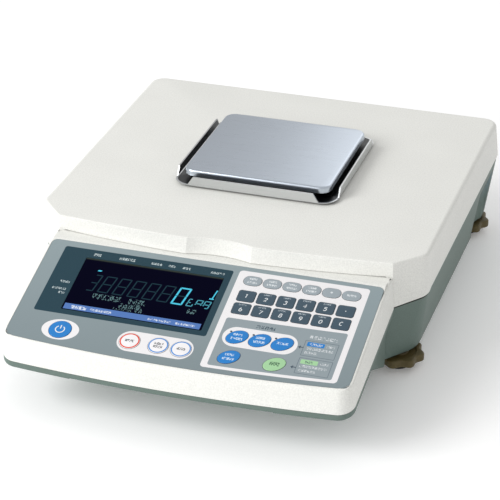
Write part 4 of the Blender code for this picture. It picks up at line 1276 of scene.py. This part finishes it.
def glyph(symbol):
    """Strokes of a symbol in a box from (-0.3, -0.5) to (0.3, 0.5)."""
    straight = {
        "1": [[(-0.16, 0.3), (0.04, 0.46), (0.04, -0.5)]],
        "4": [[(0.12, -0.5), (0.12, 0.46), (-0.3, -0.2), (0.3, -0.2)]],
        "7": [[(-0.28, 0.44), (0.28, 0.44), (-0.08, -0.5)]],
    }
    if symbol in straight:
        return [np.array(stroke, float) for stroke in straight[symbol]]
    curved = {
        "0": [arc(0, 0, 0.27, 0.45, 0, 360, 33)],
        "2": [np.vstack([arc(0, 0.2, 0.26, 0.26, 170, -35), [(-0.28, -0.44), (0.3, -0.44)]])],
        "3": [arc(-0.02, 0.22, 0.26, 0.23, 150, -90), arc(-0.02, -0.22, 0.28, 0.24, 90, -150)],
        "5": [np.vstack([[(0.26, 0.44), (-0.2, 0.44), (-0.25, 0.02)],
                         arc(-0.02, -0.16, 0.28, 0.3, 130, -150)])],
        "6": [arc(0, -0.18, 0.27, 0.28, 0, 360, 29),
              np.vstack([arc(0.1, -0.1, 0.37, 0.55, 180, 105, 12)])],
        "8": [arc(0, 0.23, 0.22, 0.22, 0, 360, 29), arc(0, -0.22, 0.27, 0.25, 0, 360, 29)],
        "9": [arc(0, 0.18, 0.27, 0.28, 0, 360, 29),
              np.vstack([arc(-0.1, 0.1, 0.37, 0.55, 0, -75, 12)])],
        "point": [arc(0, -0.05, 0.05, 0.05, 0, 360, 13)],
        "clear": [arc(0.03, 0, 0.3, 0.45, 50, 310, 29)],
        "power": [arc(0, -0.02, 0.42, 0.42, 125, 415, 40), np.array([(0, 0.06), (0, 0.5)])],
    }
    return curved[symbol]


def ribbon(path, half, out):
    """A flat strip along a path: the path moved half a width to each side."""
    ahead = np.gradient(path, axis=0)
    ahead /= np.linalg.norm(ahead, axis=1, keepdims=True)
    side = np.column_stack([-ahead[:, 1], ahead[:, 0]]) * half
    return np.stack([raised(path - side, out), raised(path + side, out)], axis=1)


def build_legend(name, symbol, across, down, height, lean, half):
    """Printed symbol: each stroke is a strip just above the key's crown."""
    points, faces, start = [], [], 0
    for stroke in glyph(symbol):
        path = stroke * height
        path = np.column_stack([path[:, 0] + path[:, 1] * lean, path[:, 1]])
        strip = ribbon(path, half, KEY_UP + 0.00003)
        strip += np.array([across, -down, 0.0])
        count = len(strip)
        step = start + 2 * np.arange(count - 1)
        faces += np.stack([step, step + 2, step + 3, step + 1], axis=-1).tolist()
        points.append(on_panel(strip).reshape(-1, 3))
        start += 2 * count
    mesh = bpy.data.meshes.new(name)
    mesh.from_pydata(np.concatenate(points).tolist(), [], faces)
    return mesh


# ---- operators --------------------------------------------------------------------------
FINISH = {}          # filled by the first step, and read by the others


class ScaleStep(bpy.types.Operator):
    """Shared settings of every step."""
    bl_options = {"REGISTER", "UNDO"}

    def settings(self, context):
        return context.scene.scale_sizes, context.scene.scale_colours


class COUNTING_OT_finishes(ScaleStep):
    """Make the materials and give them to the CAD pieces that stay in view"""
    bl_idname = "counting.finishes"
    bl_label = "Materials"

    def execute(self, context):
        sizes, colours = self.settings(context)
        FINISH.update(finishes(colours, sizes))
        slots = {entry["node"]: entry["material_slot"] for entry in frame["record"]["subparts"]}
        for name, node in frame["nodes"].items():
            node.data.materials.clear()
            node.data.materials.append(FINISH[slots[name]])
        return {"FINISHED"}


class COUNTING_OT_housing(ScaleStep):
    """Build the cover and the base"""
    bl_idname = "counting.housing"
    bl_label = "Cover and base"

    def execute(self, context):
        sizes, _ = self.settings(context)
        piece("cover_shell", build_cover(sizes), FINISH["warm_white_plastic"], "housing",
              "top_cover", slot="warm_white_plastic")
        piece("base_shell", build_base(), FINISH["base"], "housing",
              "base_housing", slot="grey_green_plastic")
        return {"FINISHED"}


class COUNTING_OT_console(ScaleStep):
    """Build the two halves of the console"""
    bl_idname = "counting.console"
    bl_label = "Console"

    def execute(self, context):
        sizes, _ = self.settings(context)
        piece("console_shell", build_console_top(sizes), FINISH["warm_white_plastic"],
              "housing", "console_top_case", slot="warm_white_plastic")
        piece("console_tray", build_console_bottom(), FINISH["grey_green_plastic"],
              "housing", "console_bottom_case", slot="grey_green_plastic")
        return {"FINISHED"}


class COUNTING_OT_pan(ScaleStep):
    """Build the weighing pan and the tray round it"""
    bl_idname = "counting.pan"
    bl_label = "Pan and tray"

    def execute(self, context):
        sizes, _ = self.settings(context)
        piece("pan_shell", build_pan(sizes), FINISH["brushed_stainless"], "pan",
              "weighing_pan", slot="brushed_stainless")
        piece("tray_shell", build_tray(), FINISH["tray"], "housing",
              "pan_tray", slot="brushed_stainless")
        return {"FINISHED"}


class COUNTING_OT_feet(ScaleStep):
    """Build the four levelling knobs, their studs and their pads"""
    bl_idname = "counting.feet"
    bl_label = "Levelling feet"

    def execute(self, context):
        sizes, _ = self.settings(context)
        for end, y in FOOT_ENDS.items():
            for side, x in FOOT_SIDES.items():
                tag = f"{end}_{side}"
                piece(f"knob_{tag}", build_knob(f"knob_{tag}", (x, y), sizes),
                      FINISH["bronze_plastic"], f"foot_{tag}_knob", f"foot_knob_{tag}",
                      slot="bronze_plastic")
                piece(f"stud_{tag}", build_stud(f"stud_{tag}", (x, y)), FINISH["plated_steel"],
                      f"foot_{tag}_knob", f"foot_stud_{tag}", slot="plated_steel")
                piece(f"pad_{tag}", build_pad(f"pad_{tag}", (x, y)), FINISH["black_rubber"],
                      f"foot_{tag}_pad", f"foot_pad_{tag}", slot="black_rubber")
        return {"FINISHED"}


class COUNTING_OT_keys(ScaleStep):
    """Build every key and the symbols printed on the number and power keys"""
    bl_idname = "counting.keys"
    bl_label = "Keys"

    def execute(self, context):
        sizes, _ = self.settings(context)
        ink = key_plastic("printed_ink", srgb(226, 230, 232))
        for name, across, down, plan, slot in key_table():
            body = f"{name}_body"
            piece(f"cap_{name}", build_key(f"cap_{name}", across, down, plan, sizes),
                  FINISH[slot], body, name, slot=slot)
            symbol = name.removeprefix("key_")
            tag = f"legend_{symbol}"
            if slot == "slate_key":
                lower = 0.0 if symbol in ("1", "point", "clear") else 0.0012
                piece(tag, build_legend(tag, symbol, across, down + lower, sizes.legend,
                                        LEGEND_LEAN, LEGEND_HALF), ink, body)
            elif symbol == "power":
                piece(tag, build_legend(tag, symbol, across, down, POWER_TALL, 0.0, POWER_HALF),
                      ink, body)
        return {"FINISHED"}


class COUNTING_OT_stage(ScaleStep):
    """Set the pale floor, soft lights and the camera"""
    bl_idname = "counting.stage"
    bl_label = "Stage"

    def hang(self, scene, name, data, place, target):
        """A lamp or the camera at a place, turned towards a target."""
        holder = bpy.data.objects.new(name, data)
        holder.location = place
        aim = Vector(target) - Vector(place)
        holder.rotation_euler = aim.to_track_quat("-Z", "Y").to_euler()
        scene.collection.objects.link(holder)
        return holder

    def execute(self, context):
        scene = context.scene
        ground = bpy.data.meshes.new("floor")
        corners = round_box(2 * FLOOR_HALF, 2 * FLOOR_HALF, 0)
        ground.from_pydata(raised(corners[[2, 3, 0, 1]], 0.0).tolist(), [], [(0, 1, 2, 3)])
        floor = bpy.data.objects.new("floor", ground)
        scene.collection.objects.link(floor)
        pale = Shader("pale_floor", Roughness=0.9)
        pale.set("Base Color", pale.mix(pale.noise(400.0) * 0.1, (0.95, 0.95, 0.95),
                                        (0.93, 0.93, 0.93)))
        pale.set("Emission Color", (1.0, 1.0, 1.0))
        pale.set("Emission Strength", FLOOR_GLOW)
        ground.materials.append(pale.material)

        sky = bpy.data.worlds.new("soft_sky")
        sky.use_nodes = True
        light = sky.node_tree.nodes["Background"].inputs
        light["Color"].default_value = (1.0, 1.0, 1.0, 1.0)
        light["Strength"].default_value = SKY_STRENGTH
        scene.world = sky
        for name, place, power in LAMPS:
            lamp = bpy.data.lights.new(name, "AREA")
            lamp.energy = power
            lamp.size = LAMP_SIZE
            self.hang(scene, name, lamp, place, LAMP_AIM)

        eye = bpy.data.cameras.new("camera")
        eye.sensor_width = 36.0
        eye.lens = CAMERA_LENS
        eye.clip_end = 20.0
        scene.camera = self.hang(scene, "camera", eye, CAMERA_PLACE, CAMERA_AIM)
        scene.view_settings.view_transform = "Standard"
        return {"FINISHED"}


class COUNTING_PT_panel(bpy.types.Panel):
    """Lists the steps and settings of the counting scale"""
    bl_idname = "COUNTING_PT_panel"
    bl_label = "Counting scale"
    bl_space_type = "VIEW_3D"
    bl_region_type = "UI"
    bl_category = "Counting scale"

    def draw(self, context):
        for step in STEPS:
            self.layout.operator(step.bl_idname)
        for group in (context.scene.scale_sizes, context.scene.scale_colours):
            for name in group.__annotations__:
                self.layout.prop(group, name)


STEPS = (COUNTING_OT_finishes, COUNTING_OT_housing, COUNTING_OT_console, COUNTING_OT_pan,
         COUNTING_OT_feet, COUNTING_OT_keys, COUNTING_OT_stage)
CLASSES = (ScaleSizes, ScaleColours, *STEPS, COUNTING_PT_panel)


def register():
    for item in CLASSES:
        bpy.utils.register_class(item)
    bpy.types.Scene.scale_sizes = bpy.props.PointerProperty(type=ScaleSizes)
    bpy.types.Scene.scale_colours = bpy.props.PointerProperty(type=ScaleColours)


def unregister():
    del bpy.types.Scene.scale_colours
    del bpy.types.Scene.scale_sizes
    for item in reversed(CLASSES):
        bpy.utils.unregister_class(item)


def main():
    """Register the classes and run the steps in order."""
    register()
    bpy.ops.counting.finishes()
    bpy.ops.counting.housing()
    bpy.ops.counting.console()
    bpy.ops.counting.pan()
    bpy.ops.counting.feet()
    bpy.ops.counting.keys()
    bpy.ops.counting.stage()


if __name__ == "__main__":
    main()
